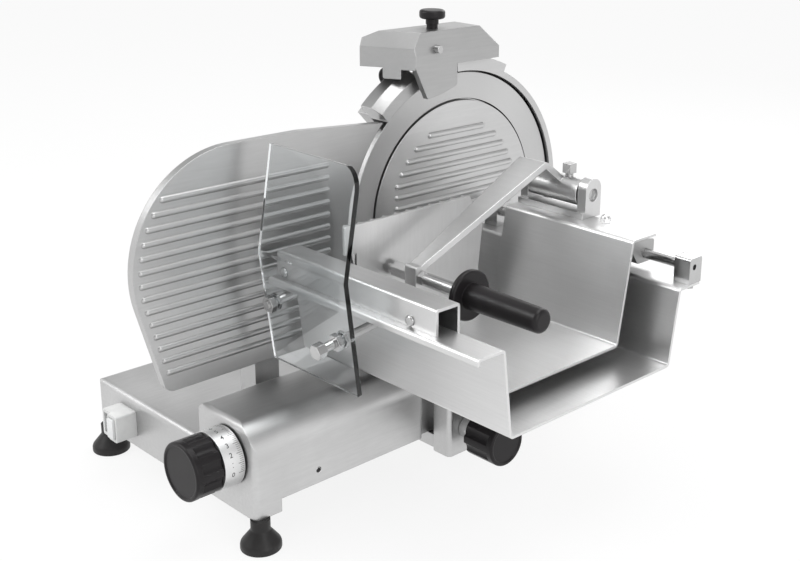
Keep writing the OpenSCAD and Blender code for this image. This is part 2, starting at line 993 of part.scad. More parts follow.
module cable_gland() {
  place() color(black) difference() {
    union() {
      rod_y(gland_x, base_rear - base_wall, gland_z, base_wall + gland_len, gland_r);
      translate([gland_x, base_rear, gland_z]) rotate([-90, 0, 0])
        cylinder(h = gland_nut_t, r = gland_nut_r, $fn = 6);
    }
    rod_y(gland_x, base_rear - base_wall - over, gland_z, base_wall + gland_len + 2 * over, gland_bore_r);
  }
}

// Outline of a rounded plate, from x to x + w at the switch's height
module switch_outline(x, w, z, h, r) {
  polygon(rounded([[x, z, r], [x + w, z, r], [x + w, z + h, r], [x, z + h, r]]));
}

// Pocket in the switch for one button, with room for its travel
module button_pocket(x, face_y) {
  box([x - slip, base_y - switch_d - 2 * stop_out, button_z - slip],
    [x + button_w + slip, face_y + button_t + button_travel + slip, button_z + button_h + slip]);
}

module switch_housing() {
  stop_left = stop_x - button_edge / 2;
  place() color(pale) difference() {
    union() {
      xz_plate(base_y - switch_d, switch_d)
        switch_outline(switch_x, switch_w, switch_z, switch_h, switch_round);
      xz_plate(base_y - switch_d - stop_out, switch_d)
        switch_outline(stop_left, switch_x + switch_w - stop_left, switch_z, switch_h, switch_round);
    }
    button_pocket(start_x, start_face_y);
    button_pocket(stop_x, stop_face_y);
  }
}

module start_button() {
  place() color(pale) xz_plate(start_face_y, button_t)
    switch_outline(start_x, button_w, button_z, button_h, button_round);
}

module stop_button() {
  place() color(pale) xz_plate(stop_face_y, button_t)
    switch_outline(stop_x, button_w, button_z, button_h, button_round);
}

// Sector of a ring about the blade's axis, its profile drawn as radius and x
module ring_sector(from, to) {
  translate([0, 0, axis_z]) rotate([from, 0, 0]) rotate([90, 0, 90])
    rotate_extrude(angle = to - from, $fn = round_fn) children();
}

// Outline of the housing's plate: it reaches out to the ring guards where these are
function plate_outline() =
  let (middle = [0, axis_z])
  concat(
    arc(middle, rim_out_r, rim_low_angle, rim_high_angle, 2 * fine_steps),
    arc(middle, rim_in_r, rim_high_angle, rim_left_angle, steps),
    arc(middle, rim_out_r, rim_left_angle, rim_left_end, steps),
    arc(middle, disc_back_r, rim_left_end, 360 + rim_low_angle, 3 * fine_steps));

module blade_housing() {
  cover_out = belt_gap + belt_t + belt_room + belt_wall;
  hub_end_x = hub_back_x - belt_plate_t;
  place() color(alu) difference() {
    union() {
      yz_plate(housing_back_x, housing_plate_t) polygon(plate_outline());
      rod_x(hub_back_x, 0, axis_z, hub_depth, hub_r);
      yz_plate(hub_end_x, belt_plate_t)
        polygon(belt_line(big_pulley_r + cover_out, small_pulley_r + cover_out));
      yz_plate(hub_back_x, housing_back_x - hub_back_x)
        polygon([[-pedestal_low_w / 2, deck_top], [pedestal_low_w / 2, deck_top],
          [hub_r - plinth_out, axis_z], [plinth_out - hub_r, axis_z]]);
      box([hub_end_x - plinth_out, -plinth_w / 2, deck_top],
        [housing_face_x, plinth_w / 2, deck_top + plinth_t]);
      for (i = [0:housing_rib_count - 1])
        translate([housing_back_x - housing_rib_depth, 0, axis_z])
          rotate([i * 360 / housing_rib_count, 0, 0])
            translate([0, 0, -housing_rib_t / 2])
              cube([housing_rib_depth + over, disc_back_r - housing_rib_t, housing_rib_t]);
      rod_z(post_rod_x, post_rod_y, axis_z + disc_back_r,
        post_boss_top - axis_z - disc_back_r, post_boss_r);
    }
    rod_x(hub_end_x - over, 0, axis_z, hub_depth + belt_plate_t + 2 * over, bearing_r - bearing_lip);
    rod_x(housing_face_x - bearing_w, 0, axis_z, bearing_w + over, bearing_r + fit);
    rod_x(hub_end_x - over, 0, axis_z, belt_plate_t + bearing_w + over, bearing_r + fit);
    rod_z(post_rod_x, post_rod_y, post_boss_top - post_bury, post_bury + over, post_rod_r + fit);
  }
}

module ring_guard_right() {
  place() color(bright) union() {
    ring_sector(rim_low_angle, rim_high_angle)
      polygon([[rim_in_r, housing_face_x], [rim_out_r, housing_face_x],
        [rim_out_r, rim_front_x], [rim_in_r, rim_front_x]]);
    ring_sector(brow_angle, rim_high_angle)
      polygon([[rim_in_r + rim_w / 2, rim_brow_back], [rim_out_r + rim_brow_w, rim_brow_back],
        [rim_out_r + rim_brow_w, rim_front_x], [rim_in_r + rim_w / 2, rim_front_x]]);
  }
}

module ring_guard_left() {
  outer = rim_left_in_r + rim_left_w;
  place() color(bright)
    ring_sector(rim_left_angle, rim_left_end)
      polygon([[rim_left_in_r, housing_face_x], [outer, housing_face_x],
        [outer, rim_front_x - rim_left_slope],
        [rim_left_in_r + rim_left_face, rim_front_x], [rim_left_in_r, rim_front_x]]);
}

module blade() {
  place() color(bright) translate([0, 0, axis_z]) rotate([90, 0, 90])
    rotate_extrude($fn = round_fn)
      polygon([[blade_bore_r, -blade_depth], [blade_r - blade_back_w, -blade_depth],
        [blade_r - rim_back, -blade_dish], [blade_r, -edge_flat], [blade_r - edge_flat, 0],
        [cover_r + 4 * cover_play, -blade_dish], [cover_r + 2 * cover_play, web_face_x],
        [blade_bore_r, web_face_x]]);
}

// Half length of the cover's rib at a height above the blade's axis
function cover_rib_half(z) =
  min(sqrt(pow(cover_plate_r - cover_rib_edge, 2) - z * z), cover_plate_r - cover_rib_side);

module blade_cover() {
  place() color(alu) union() {
    rod_x(cover_back_x, 0, axis_z, cover_plate_t, cover_plate_r, $fn = round_fn);
    for (i = [0:cover_rib_count - 1]) {
      z = (i - (cover_rib_count - 1) / 2) * cover_rib_pitch;
      capsule_y(cover_face_x + cover_rib_out - cover_rib_r, axis_z + z,
        -cover_rib_half(z), cover_rib_half(z), cover_rib_r);
    }
  }
}

module cover_tie_rod() {
  place() color(steel) union() {
    rod_x(belt_back_x - over, 0, axis_z, cover_back_x - belt_back_x + over, tie_rod_r);
    rod_x(belt_back_x - rod_knob_len, 0, axis_z, rod_knob_len, rod_knob_r);
  }
}

module blade_shaft() {
  place() color(steel) difference() {
    union() {
      rod_x(shaft_end_x, 0, axis_z, flange_x + over - shaft_end_x, shaft_r);
      rod_x(flange_x, 0, axis_z, flange_t, flange_r);
      rod_x(-blade_depth - over, 0, axis_z, blade_web + over, blade_bore_r - fit);
    }
    rod_x(shaft_end_x - over, 0, axis_z, -shaft_end_x, shaft_bore_r);
  }
}

module bearing_ring(x) {
  difference() {
    rod_x(x, 0, axis_z, bearing_w, bearing_r);
    rod_x(x - over, 0, axis_z, bearing_w + 2 * over, shaft_r + run);
  }
}

module blade_bearings() {
  place() color(steel) {
    bearing_ring(housing_face_x - bearing_w);
    bearing_ring(hub_back_x);
  }
}

// Flat belt pulley with two thin rims
module pulley(y, z, r, bore) {
  difference() {
    union() {
      rod_x(pulley_x, y, z, pulley_w, r);
      for (x = [pulley_x, pulley_x + pulley_w - pulley_rim])
        rod_x(x, y, z, pulley_rim, r + pulley_rim);
    }
    rod_x(pulley_x - over, y, z, pulley_w + 2 * over, bore);
  }
}

module blade_pulley() {
  place() color(steel) pulley(0, axis_z, big_pulley_r, shaft_r + fit);
}

module drive_belt() {
  x = pulley_x + belt_side;
  place() color(black) difference() {
    yz_plate(x, belt_w)
      polygon(belt_line(big_pulley_r + belt_gap + belt_t, small_pulley_r + belt_gap + belt_t));
    yz_plate(x - over, belt_w + 2 * over)
      polygon(belt_line(big_pulley_r + belt_gap, small_pulley_r + belt_gap));
  }
}

module belt_cover() {
  big = big_pulley_r + belt_gap + belt_t + belt_room;
  small = small_pulley_r + belt_gap + belt_t + belt_room;
  place() color(alu) difference() {
    yz_plate(belt_back_x, hub_back_x - belt_plate_t - belt_back_x)
      polygon(belt_line(big + belt_wall, small + belt_wall));
    yz_plate(belt_back_x + belt_wall, hub_back_x - belt_back_x)
      polygon(belt_line(big, small));
    rod_x(belt_back_x - over, 0, axis_z, belt_wall + 2 * over, tie_rod_r + run);
    rod_x(belt_back_x - over, motor_y, motor_z, belt_wall + 2 * over, motor_shaft_r + run);
  }
}

module motor_housing() {
  place() color(alu) difference() {
    union() {
      rod_x(motor_left, motor_y, motor_z, motor_len, motor_r - motor_fin_h);
      rod_x(belt_back_x - motor_cap_len, motor_y, motor_z, motor_cap_len, motor_r);
      rod_x(motor_left, motor_y, motor_z, motor_cap_len, motor_r);
      for (i = [0:motor_fin_count - 1])
        translate([motor_left + motor_cap_len - over, motor_y, motor_z])
          rotate([i * 360 / motor_fin_count, 0, 0])
            translate([0, -motor_fin_t / 2, 0])
              cube([motor_len - 2 * motor_cap_len + 2 * over, motor_fin_t, motor_r - motor_fin_t / 2]);
      box([motor_left + (motor_len - motor_foot_len) / 2, motor_y - motor_foot_w / 2, deck_top],
        [motor_left + (motor_len + motor_foot_len) / 2, motor_y + motor_foot_w / 2,
          deck_top + motor_foot_h]);
    }
    rod_x(belt_back_x - motor_cap_len, motor_y, motor_z, motor_cap_len + over, motor_shaft_r + run);
  }
}

module motor_pulley() {
  start = belt_back_x - motor_cap_len + seat;
  place() color(steel) union() {
    pulley(motor_y, motor_z, small_pulley_r, motor_shaft_r - over);
    rod_x(start, motor_y, motor_z, pulley_x + pulley_w - start, motor_shaft_r);
  }
}

module gauge_guide_bars() {
  place() color(bright)
    for (y = [bar_y1, bar_y2])
      rod_x(web_left_x, y, bar_z, web_right_x - web_left_x, bar_r);
}

// Carrier of the ribbed plate: sliding block, arm through the deck, link to the scroll
module gauge_carrier() {
  block_low = bar_z - carrier_h / 2;
  block_high = bar_z + carrier_h / 2;
  upright_x = index_x - scroll_start - link_w / 2;
  pin_y = scroll_y + scroll_t - follower_depth + groove_gap;
  place() color(alu) difference() {
    union() {
      box([carrier_left, bar_y1 - carrier_edge, block_low],
        [gauge_back_x, bar_y2 + carrier_edge, block_high]);
      box([arm_back_x, arm_y, block_low], [gauge_back_x, arm_y + arm_d, arm_top]);
      box([arm_back_x, link_y, link_z - link_h], [arm_back_x + link_w, bar_y1, link_z]);
      box([arm_back_x, link_y, link_z - link_h], [arm_back_x + link_w, link_y + link_d, link_z + link_h]);
      box([arm_back_x, link_y, link_z], [upright_x + link_w, link_y + link_d, link_z + link_h]);
      box([upright_x, link_y, link_z], [upright_x + link_w, link_y + link_d, index_z + link_w / 2]);
      rod_y(index_x - scroll_start, pin_y, index_z, link_y + over - pin_y, follower_r);
    }
    for (y = [bar_y1, bar_y2])
      rod_x(carrier_left - over, y, bar_z, gauge_back_x - carrier_left + 2 * over, bar_r + run);
  }
}

// Left limit of the ribbed plate at a height
function gauge_left(z) =
  z > gauge_mid_z - gauge_round * sin(gauge_lean) ?
    gauge_mid_y - sqrt(pow(gauge_round, 2) - pow(z - gauge_mid_z, 2)) :
    gauge_corner_y + (gauge_top - z) * tan(gauge_lean);

module gauge_plate() {
  outline = rounded(gauge_outline, 2 * fine_steps);
  cut_r = blade_r + gauge_blade_gap;
  place() color(alu) difference() {
    union() {
      yz_plate(gauge_back_x, gauge_t) polygon(outline);
      for (i = [0:gauge_rib_count - 1]) {
        z = gauge_rib_z + i * gauge_rib_pitch;
        capsule_y(gauge_face_x + gauge_rib_out - gauge_rib_r, z,
          gauge_left(z) + gauge_rib_edge + gauge_rib_r, gauge_rib_end, gauge_rib_r);
      }
    }
    rod_x(gauge_back_x - over, 0, axis_z, gauge_t + 2 * over, cut_r, $fn = round_fn);
    difference() {
      yz_plate(gauge_back_x - over, gauge_t - gauge_skin + over) polygon(inset(outline, gauge_frame));
      rod_x(gauge_back_x - 2 * over, 0, axis_z, gauge_t + over, cut_r + gauge_frame, $fn = round_fn);
      box([gauge_back_x - 2 * over, arm_y - arm_pad, gauge_z],
        [gauge_face_x, arm_y + arm_d + arm_pad, arm_top + arm_pad]);
    }
  }
}

// Scroll groove's middle after a turn of the disc, moved square to its run by a distance
function scroll_point(turn, out) = let (r = scroll_start + slice_max * turn / index_turn,
  rise = slice_max / index_turn * 180 / PI, side = out / norm([r, rise]))
  r * (1 + side) * [-cos(turn), -sin(turn)] - rise * side * [sin(turn), -cos(turn)];

// Spiral groove with round ends
module scroll_groove() {
  half = follower_r + groove_gap;
  polygon(concat(
    [for (i = [0:groove_steps]) scroll_point(index_turn * i / groove_steps, half)],
    [for (i = [0:groove_steps]) scroll_point(index_turn * (groove_steps - i) / groove_steps, -half)]));
  for (turn = [0, index_turn])
    translate(scroll_point(turn, 0)) circle(r = half);
}

module index_shaft() {
  start = drum_back_y - drum_len / 2;
  place() color(steel) difference() {
    union() {
      rod_y(index_x, start, index_z, scroll_y + over - start, index_shaft_r);
      rod_y(index_x, scroll_y, index_z, scroll_t, scroll_r);
    }
    translate([index_x, scroll_y + scroll_t - follower_depth, index_z]) rotate([-90, 0, 0])
      linear_extrude(follower_depth + over) scroll_groove();
  }
}

// Knob with a smooth front rim and flutes behind it, along Z from its back
module fluted_knob(r, len, rim, count) {
  difference() {
    rotate_extrude() polygon(rounded([[0, 0, 0], [r, 0, 0], [r, len, knob_round],
      [r - knob_land, len, knob_edge], [r - knob_land - knob_dish, len - knob_dish, 0], [0, len - knob_dish, 0]]));
    for (i = [0:count - 1])
      rotate([0, 0, (i + 0.5) * 360 / count])
        translate([r + flute_out, 0, -over]) cylinder(h = len - rim + over, r = flute_r);
  }
}

module index_knob() {
  place() color(black) difference() {
    translate([index_x, knob_back_y, index_z]) rotate([90, 0, 0])
      fluted_knob(index_knob_r, index_knob_len, knob_rim, flute_count);
    rod_y(index_x, knob_front_y + knob_rim, index_z, index_knob_len, knob_stub_r + fit);
  }
}

module index_drum() {
  drum_front_y = drum_back_y - drum_len;
  place() color(steel) difference() {
    union() {
      rod_y(index_x, drum_front_y, index_z, drum_len, drum_r);
      rod_y(index_x, knob_back_y, index_z, knob_gap + over, knob_core_r);
      rod_y(index_x, knob_front_y + knob_rim, index_z, drum_front_y + over - knob_front_y - knob_rim,
        knob_stub_r);
    }
    rod_y(index_x, drum_back_y - drum_len / 2, index_z, drum_len / 2 + over, index_shaft_r + fit);
  }
}

module sharpener_post() {
  low = post_boss_top - post_bury;
  place() color(bright)
    rod_z(post_rod_x, post_rod_y, low, post_top - low, post_rod_r);
}

// Places what is drawn along the sharpener's slanted edge, its Y pointing inward
module on_front() {
  translate([sharp_nose_x, sharp_front, 0]) rotate([0, 0, atan2(sharp_edge[1], sharp_edge[0])]) children();
}

// Outer or inner form of the sharpener's cover, drawn in by the wall
module sharpener_form(wall, low) {
  top = sharp_top - wall;
  intersection() {
    xz_plate(sharp_front, sharp_reach)
      polygon([[sharp_left + wall, low], [sharp_right - wall, low], [sharp_right - wall, brow_top],
        [sharp_right - roof_in - wall, top], [sharp_left + roof_left_in + wall, top],
        [sharp_left + wall, brow_top]]);
    yz_plate(sharp_left, sharp_right - sharp_left)
      polygon([[sharp_front, low], [sharp_rear - wall, low], [sharp_rear - wall, brow_top],
        [sharp_rear - roof_rear_in - wall, top], [sharp_front, top]]);
    on_front() yz_plate(-sharp_reach, 2 * sharp_reach)
      polygon([[wall, low], [sharp_reach, low], [sharp_reach, top], [roof_front_in + wall, top],
        [wall, brow_top + front_ridge]]);
    translate([0, 0, low]) linear_extrude(top - low) polygon(inset(sharp_plan, wall));
  }
}

module sharpener_cover() {
  sleeve_low = post_boss_top + seat;
  edge_len = norm(sharp_edge);
  lobe_rear = sharp_side_front + lobe_w;
  leg_low = sharp_z - leg_drop;
  place() color(alu) difference() {
    union() {
      difference() {
        sharpener_form(0, sharp_z);
        sharpener_form(sharp_wall, sharp_z - over);
      }
      yz_plate(sharp_right - lobe_t, lobe_t)
        polygon(rounded([[sharp_side_front, sharp_z, 0], [sharp_side_front + lobe_tip, lobe_low - lobe_rise, 0],
          [(sharp_side_front + lobe_tip + lobe_rear) / 2, lobe_low - lobe_rise / 2, lobe_w],
          [lobe_rear, lobe_low + lobe_rise / 2, lobe_round],
          [lobe_rear, brow_top - over, 0], [sharp_side_front, brow_top - over, 0]]));
      on_front() xz_plate(0, sharp_wall)
        polygon(rounded([[leg_from, brow_top, 0], [leg_from, leg_low, block_round],
          [leg_notch, leg_low, 0], [leg_notch, sharp_z - leg_notch_drop, 0],
          [edge_len - over, sharp_z - leg_notch_drop, 0], [edge_len - over, brow_top, 0]]));
      intersection() {
        rod_z(post_rod_x, post_rod_y, sleeve_low, sharp_top - sleeve_low, sleeve_r);
        sharpener_form(sharp_wall / 2, post_boss_top);
      }
      rod_z(knob_x, knob_y, sharp_top - guide_len, guide_len - over, knob_collar_r);
      rod_x(push_guide_x, push_y, push_z, sharp_right - sharp_wall - push_guide_x,
        push_r + push_guide_wall);
      box([lock_knob_x - lock_boss_half, lock_boss_y, lock_knob_z - lock_boss_half],
        [lock_knob_x + lock_boss_half, lock_boss_y + lock_boss_d, sharp_z + sharp_wall]);
    }
    rod_z(post_rod_x, post_rod_y, sleeve_low - over, post_top + seat + over - sleeve_low,
      post_rod_r + run);
    rod_z(knob_x, knob_y, sharp_top - guide_len - over, guide_len + 2 * over, knob_shaft_r + run);
    rod_x(push_guide_x - over, push_y, push_z, sharp_right + over - push_guide_x, push_r + run);
    rod_y(lock_knob_x, lock_boss_y - over, lock_knob_z, lock_shank_len + over, lock_shank_r + run);
  }
}

module sharpener_knob() {
  shaft_low = stone_z + stone_t - stone_bury;
  place() color(black) union() {
    rod_z(knob_x, knob_y, shaft_low, sharp_top + knob_push + over - shaft_low, knob_shaft_r);
    rod_z(knob_x, knob_y, sharp_top + knob_push + seat, knob_rise, knob_stem_r);
    translate([knob_x, knob_y, sharp_top + knob_push + knob_rise]) rotate_extrude()
      polygon(rounded([[0, 0, 0], [sharp_knob_r, 0, knob_head_round],
        [sharp_knob_r, knob_head_h, knob_head_round], [0, knob_head_h, 0]]));
  }
}

module grinding_stone() {
  place() color(pale) difference() {
    rod_z(knob_x, knob_y, stone_z, stone_t, stone_r);
    rod_z(knob_x, knob_y, stone_z + stone_t - stone_bury, stone_bury + over, knob_shaft_r + fit);
  }
}

module sharpener_push_pin() {
  place() color(steel) union() {
    rod_x(hone_x, push_y, push_z, hone_t, hone_r);
    rod_x(hone_x, push_y, push_z, push_end_x - hone_x, push_r);
  }
}

module sharpener_lock_knob() {
  face_y = lock_boss_y - seat;
  place() color(black) union() {
    rod_y(lock_knob_x, face_y - over, lock_knob_z, lock_shank_len, lock_shank_r);
    translate([lock_knob_x, face_y, lock_knob_z]) rotate([90, 0, 0])
      fluted_knob(lock_knob_r, lock_knob_len, lock_knob_rim, lock_flutes);
  }
}

// Cast foot, post and tray plate of the carriage, in one piece
module carriage_post() {
  gusset_x = post_x + post_w - over;
  place() color(alu) difference() {
    union() {
      translate([0, 0, foot_low]) linear_extrude(tray_z - plate_t / 2 - foot_low)
        polygon(rounded([[post_x, post_y, post_round], [post_x + post_w, post_y, post_round],
          [post_x + post_w, post_y + post_d, post_round], [post_x, post_y + post_d, post_round]]));
      box([saddle_x, post_y + post_round, foot_low], [post_x + post_round, post_y + post_d, foot_high]);
      box([saddle_x, post_y, foot_low], [saddle_x + saddle_w, post_y + post_d, rail_z]);
      rod_y(rail_x, hold_y, rail_z, hold_len, hold_r);
      translate([0, 0, tray_z - plate_t]) linear_extrude(plate_t)
        polygon(rounded([[post_x, plate_front, plate_round], [post_x + plate_len, plate_front, plate_round],
          [post_x + plate_len, plate_front + plate_w, plate_round],
          [post_x, plate_front + plate_w, plate_round]]));
      xz_plate(post_y + (post_d - plate_t) / 2, plate_t)
        polygon([[gusset_x, tray_z - plate_t / 2], [gusset_x, tray_z - gusset_low],
          [gusset_x + gusset_reach, tray_z - plate_t / 2]]);
    }
    rod_y(rail_x, hold_y - over, rail_z, hold_len + 2 * over, bush_r + fit);
    rod_x(post_x - over, clamp_y, clamp_z, post_w + 2 * over, clamp_screw_r + run);
  }
}

module bush(y) {
  difference() {
    rod_y(rail_x, y, rail_z, bush_len, bush_r);
    rod_y(rail_x, y - over, rail_z, bush_len + 2 * over, rail_r + run);
  }
}

module rail_bushes() {
  place() color(black) {
    bush(hold_y);
    bush(hold_y + hold_len - bush_len);
  }
}

module guide_shoe() {
  place() color(black) difference() {
    box([track_x - slip - shoe_side, post_y, foot_high],
      [track_x + track_w + slip + shoe_side, post_y + post_d, track_z + track_h]);
    box([track_x - slip, post_y - over, track_z - slip],
      [track_x + track_w + slip, post_y + post_d + over, track_z + track_h + over]);
  }
}

module clamp_screw() {
  place() color(steel) union() {
    rod_x(post_x, clamp_y, clamp_z, clamp_knob_x - post_x, clamp_screw_r);
    rod_x(post_x + post_w + seat, clamp_y, clamp_z, collar_t, collar_r);
    translate([clamp_x - over, clamp_y, clamp_z]) rotate([0, 90, 0])
      cylinder(h = clamp_nut_t + over, r = clamp_nut_r, $fn = 6);
  }
}

module clamp_knob() {
  place() color(black)
    translate([clamp_knob_x, clamp_y, clamp_z]) rotate([0, 90, 0])
      fluted_knob(clamp_knob_r, clamp_knob_len, knob_rim, clamp_flutes);
}

outer_path = rounded_path([
  [tray_y - wall_lean - front_flange_w, flange_z - lip_h],
  [tray_y - wall_lean - front_flange_w, flange_z, lip_bend],
  [tray_y - wall_lean, flange_z, small_bend],
  [tray_y, tray_z, bend],
  [tray_rear, tray_z, bend],
  [tray_rear + rear_lean, rear_flange_z, small_bend],
  [tray_rear + rear_lean + rear_flange_w, rear_flange_z],
]);

module outer_tray() {
  place() color(steel) difference() {
    yz_plate(tray_gap, tray_len) polygon(sheet(outer_path, sheet_t));
    for (x = [block_left_x, block_right_x])
      rod_z(x + block_w / 2, bolt_y, rear_flange_z - over, sheet_t + 2 * over, bolt_r + fit);
  }
}

channel_path = rounded_path([
  [channel_y + channel_w, channel_z - channel_hook],
  [channel_y + channel_w, channel_top, channel_bend],
  [channel_y, channel_top, channel_bend],
  [channel_y, channel_z],
]);

module front_channel() {
  place() color(bright) difference() {
    yz_plate(channel_x, channel_len) polygon(sheet(channel_path, channel_t));
    for (i = [0, 1])
      rod_y(channel_x + screw_edge + i * screw_pitch, channel_y - over, screw_z,
        channel_t + 2 * over, screw_r + fit);
  }
}

module channel_screws() {
  place() color(steel)
    for (i = [0, 1])
      translate([channel_x + screw_edge + i * screw_pitch, channel_y, screw_z]) rotate([90, 0, 0]) union() {
        rotate_extrude() polygon(rounded([[0, 0, 0], [screw_head_r, 0, 0],
          [screw_head_r, screw_head_h, screw_round], [0, screw_head_h, 0]]));
        rod_z(0, 0, -screw_len, screw_len + over, screw_r);
      }
}

module slide_rod() {
  place() color(bright) rod_x(slide_rod_x, slide_y, slide_z, slide_rod_len, slide_rod_r);
}

module rod_end_blocks() {
  low = rear_flange_z + sheet_t;
  place() color(steel) difference() {
    for (x = [block_left_x, block_right_x])
      yz_plate(x, block_w)
        polygon(rounded([[block_front, low, 0], [block_front + block_d, low, 0],
          [block_front + block_d, low + block_h, block_round], [block_front, low + block_h, block_round]]));
    rod_x(slide_rod_x, slide_y, slide_z, slide_rod_len, slide_rod_r + fit);
    rod_x(block_left_x - over, slide_y, slide_z, block_right_x + block_w - block_left_x + 2 * over, rod_hole_r);
    for (x = [block_left_x, block_right_x])
      rod_z(x + block_w / 2, bolt_y, low - over, bolt_bury + over, bolt_r + fit);
  }
}

module rod_block_bolts() {
  place() color(steel)
    for (x = [block_left_x, block_right_x])
      union() {
        translate([x + block_w / 2, bolt_y, rear_flange_z - bolt_head_h])
          cylinder(h = bolt_head_h, r = bolt_head_r, $fn = 6);
        rod_z(x + block_w / 2, bolt_y, rear_flange_z - over, bolt_bury + sheet_t, bolt_r);
      }
}

// Outer face of the tray's front wall at a height
function wall_y(z) = tray_y - wall_lean * (z - tray_z) / front_wall_h;

// Middle of the guard sheet, straight out from the wall at a height
function guard_point(z) = [wall_y(z) - guard_gap * cos(lean_angle), z - guard_gap * sin(lean_angle)];

// Piece on the tray's front wall at x and z, its own Z pointing outward
module on_wall(x, z) {
  translate([x, wall_y(z), z]) rotate([90 + lean_angle, 0, 0]) children();
}

guard_low_end = guard_point(guard_low);
guard_bend_point = guard_point(guard_kink);
guard_high_end = guard_bend_point + [guard_back, guard_rise];
guard_path = rounded_path([guard_low_end, concat(guard_bend_point, guard_bend), guard_high_end]);

module guard_sheet() {
  right = guard_x + guard_w;
  place() color(clear) difference() {
    intersection() {
      yz_plate(guard_x, guard_w)
        polygon(sheet([for (p = guard_path) p - [guard_t / 2, 0]], -guard_t));
      xz_plate(guard_bend_point[0] - guard_bend, guard_gap)
        polygon(rounded([[guard_x, guard_low_end[1] - guard_t, 0], [right, guard_low_end[1] - guard_t, 0],
          [right, guard_high_end[1] + over, guard_corner], [guard_x, guard_high_end[1] + over, 0]]));
    }
    on_wall(pin_low_x, pin_low_z) rod_z(0, 0, 0, guard_gap + nut_t, pin_r + fit);
    on_wall(pin_high_x, pin_high_z) rod_z(0, 0, 0, guard_gap + nut_t, pin_r + fit);
  }
}

// Long pin with hexagonal nuts on both sides of the sheet
module guard_pin(len) {
  rod_z(0, 0, 0, len, pin_r);
  translate([0, 0, guard_gap + guard_t / 2 + seat]) cylinder(h = nut_t, r = nut_r, $fn = 6);
  translate([0, 0, guard_gap - guard_t / 2 - seat - jam_nut_t]) cylinder(h = jam_nut_t, r = nut_r, $fn = 6);
}

module guard_pins() {
  place() color(bright) {
    on_wall(pin_low_x, pin_low_z) union() {
      guard_pin(pin_low_len);
      translate([0, 0, pin_low_len - end_nut_t]) cylinder(h = end_nut_t, r = end_nut_r, $fn = 6);
    }
    on_wall(pin_high_x, pin_high_z) union() {
      guard_pin(guard_gap + guard_t / 2 + nut_t + 2 * over);
    }
  }
}

feed_path = rounded_path([
  [feed_front, feed_z + feed_lip],
  [feed_front, feed_z, bend],
  [feed_rear, feed_z, bend],
  [feed_flange_y, feed_flange_z, small_bend],
  [feed_flange_end, feed_flange_z],
]);

module feed_tray() {
  place() color(steel) yz_plate(feed_x, feed_len) polygon(sheet(feed_path, sheet_t));
}

// Bearing block of the feed tray: its neck reaches up to the tray's rear flange
module feed_bearing() {
  low = slide_z - slide_rod_r - bearing_drop;
  half = slide_rod_r + bearing_wall;
  place() color(alu) difference() {
    yz_plate(bearing_x, bearing_len)
      polygon(rounded([
        [slide_y - half, low, block_round],
        [slide_y + half, low, block_round],
        [slide_y + half, slide_z + half, block_round],
        [feed_flange_end, feed_flange_z - bearing_wall, 0],
        [feed_flange_end, feed_flange_z, 0],
        [feed_flange_end - bearing_neck, feed_flange_z, 0],
        [feed_flange_end - bearing_neck, slide_z + half, block_round]]));
    rod_x(bearing_x - over, slide_y, slide_z, bearing_len + 2 * over, slide_rod_r + run);
  }
}

module glide_strip() {
  place() color(black)
    box([glide_x, glide_y, tray_z + sheet_t + seat], [glide_x + glide_len, glide_y + glide_w, feed_z]);
}

// Ear of the bracket, with its round top over the pin
module ear(x, t, rise) {
  yz_plate(x, t)
    polygon(rounded([[hinge_y - ear_half, feed_top, 0], [hinge_y + ear_half, feed_top, 0],
      [hinge_y + ear_half, hinge_z + rise, ear_round],
      [hinge_y - ear_half, hinge_z + rise, ear_round]], fine_steps));
}

// Hexagonal nut with a domed top
module dome_nut(x, y, z) {
  translate([x, y, z]) {
    cylinder(h = dome_h, r = dome_r, $fn = 6);
    translate([0, 0, dome_h - over]) intersection() {
      sphere(r = dome_r * cos(30));
      cylinder(h = dome_r, r = dome_r);
    }
  }
}

module hinge_bracket() {
  place() color(bright) difference() {
    union() {
      box([bracket_x, bracket_y, feed_top],
        [bracket_x + bracket_w, bracket_y + bracket_d, feed_top + bracket_h]);
      ear(bracket_x, ear_left_w, ear_left_rise);
      ear(ear_right_x, ear_right_w, ear_right_rise);
      dome_nut(dome_x, dome_y, feed_top);
    }
    rod_x(bracket_x + pin_end, hinge_y, hinge_z, bracket_w - pin_end + over, hinge_pin_r + fit);
    rod_x(bracket_x + bracket_w - recess_depth, hinge_y, hinge_z, recess_depth + over, recess_r);
  }
}

module hinge_pin() {
  place() color(steel)
    rod_x(bracket_x + pin_end, hinge_y, hinge_z, bracket_w - pin_end - recess_depth, hinge_pin_r);
}

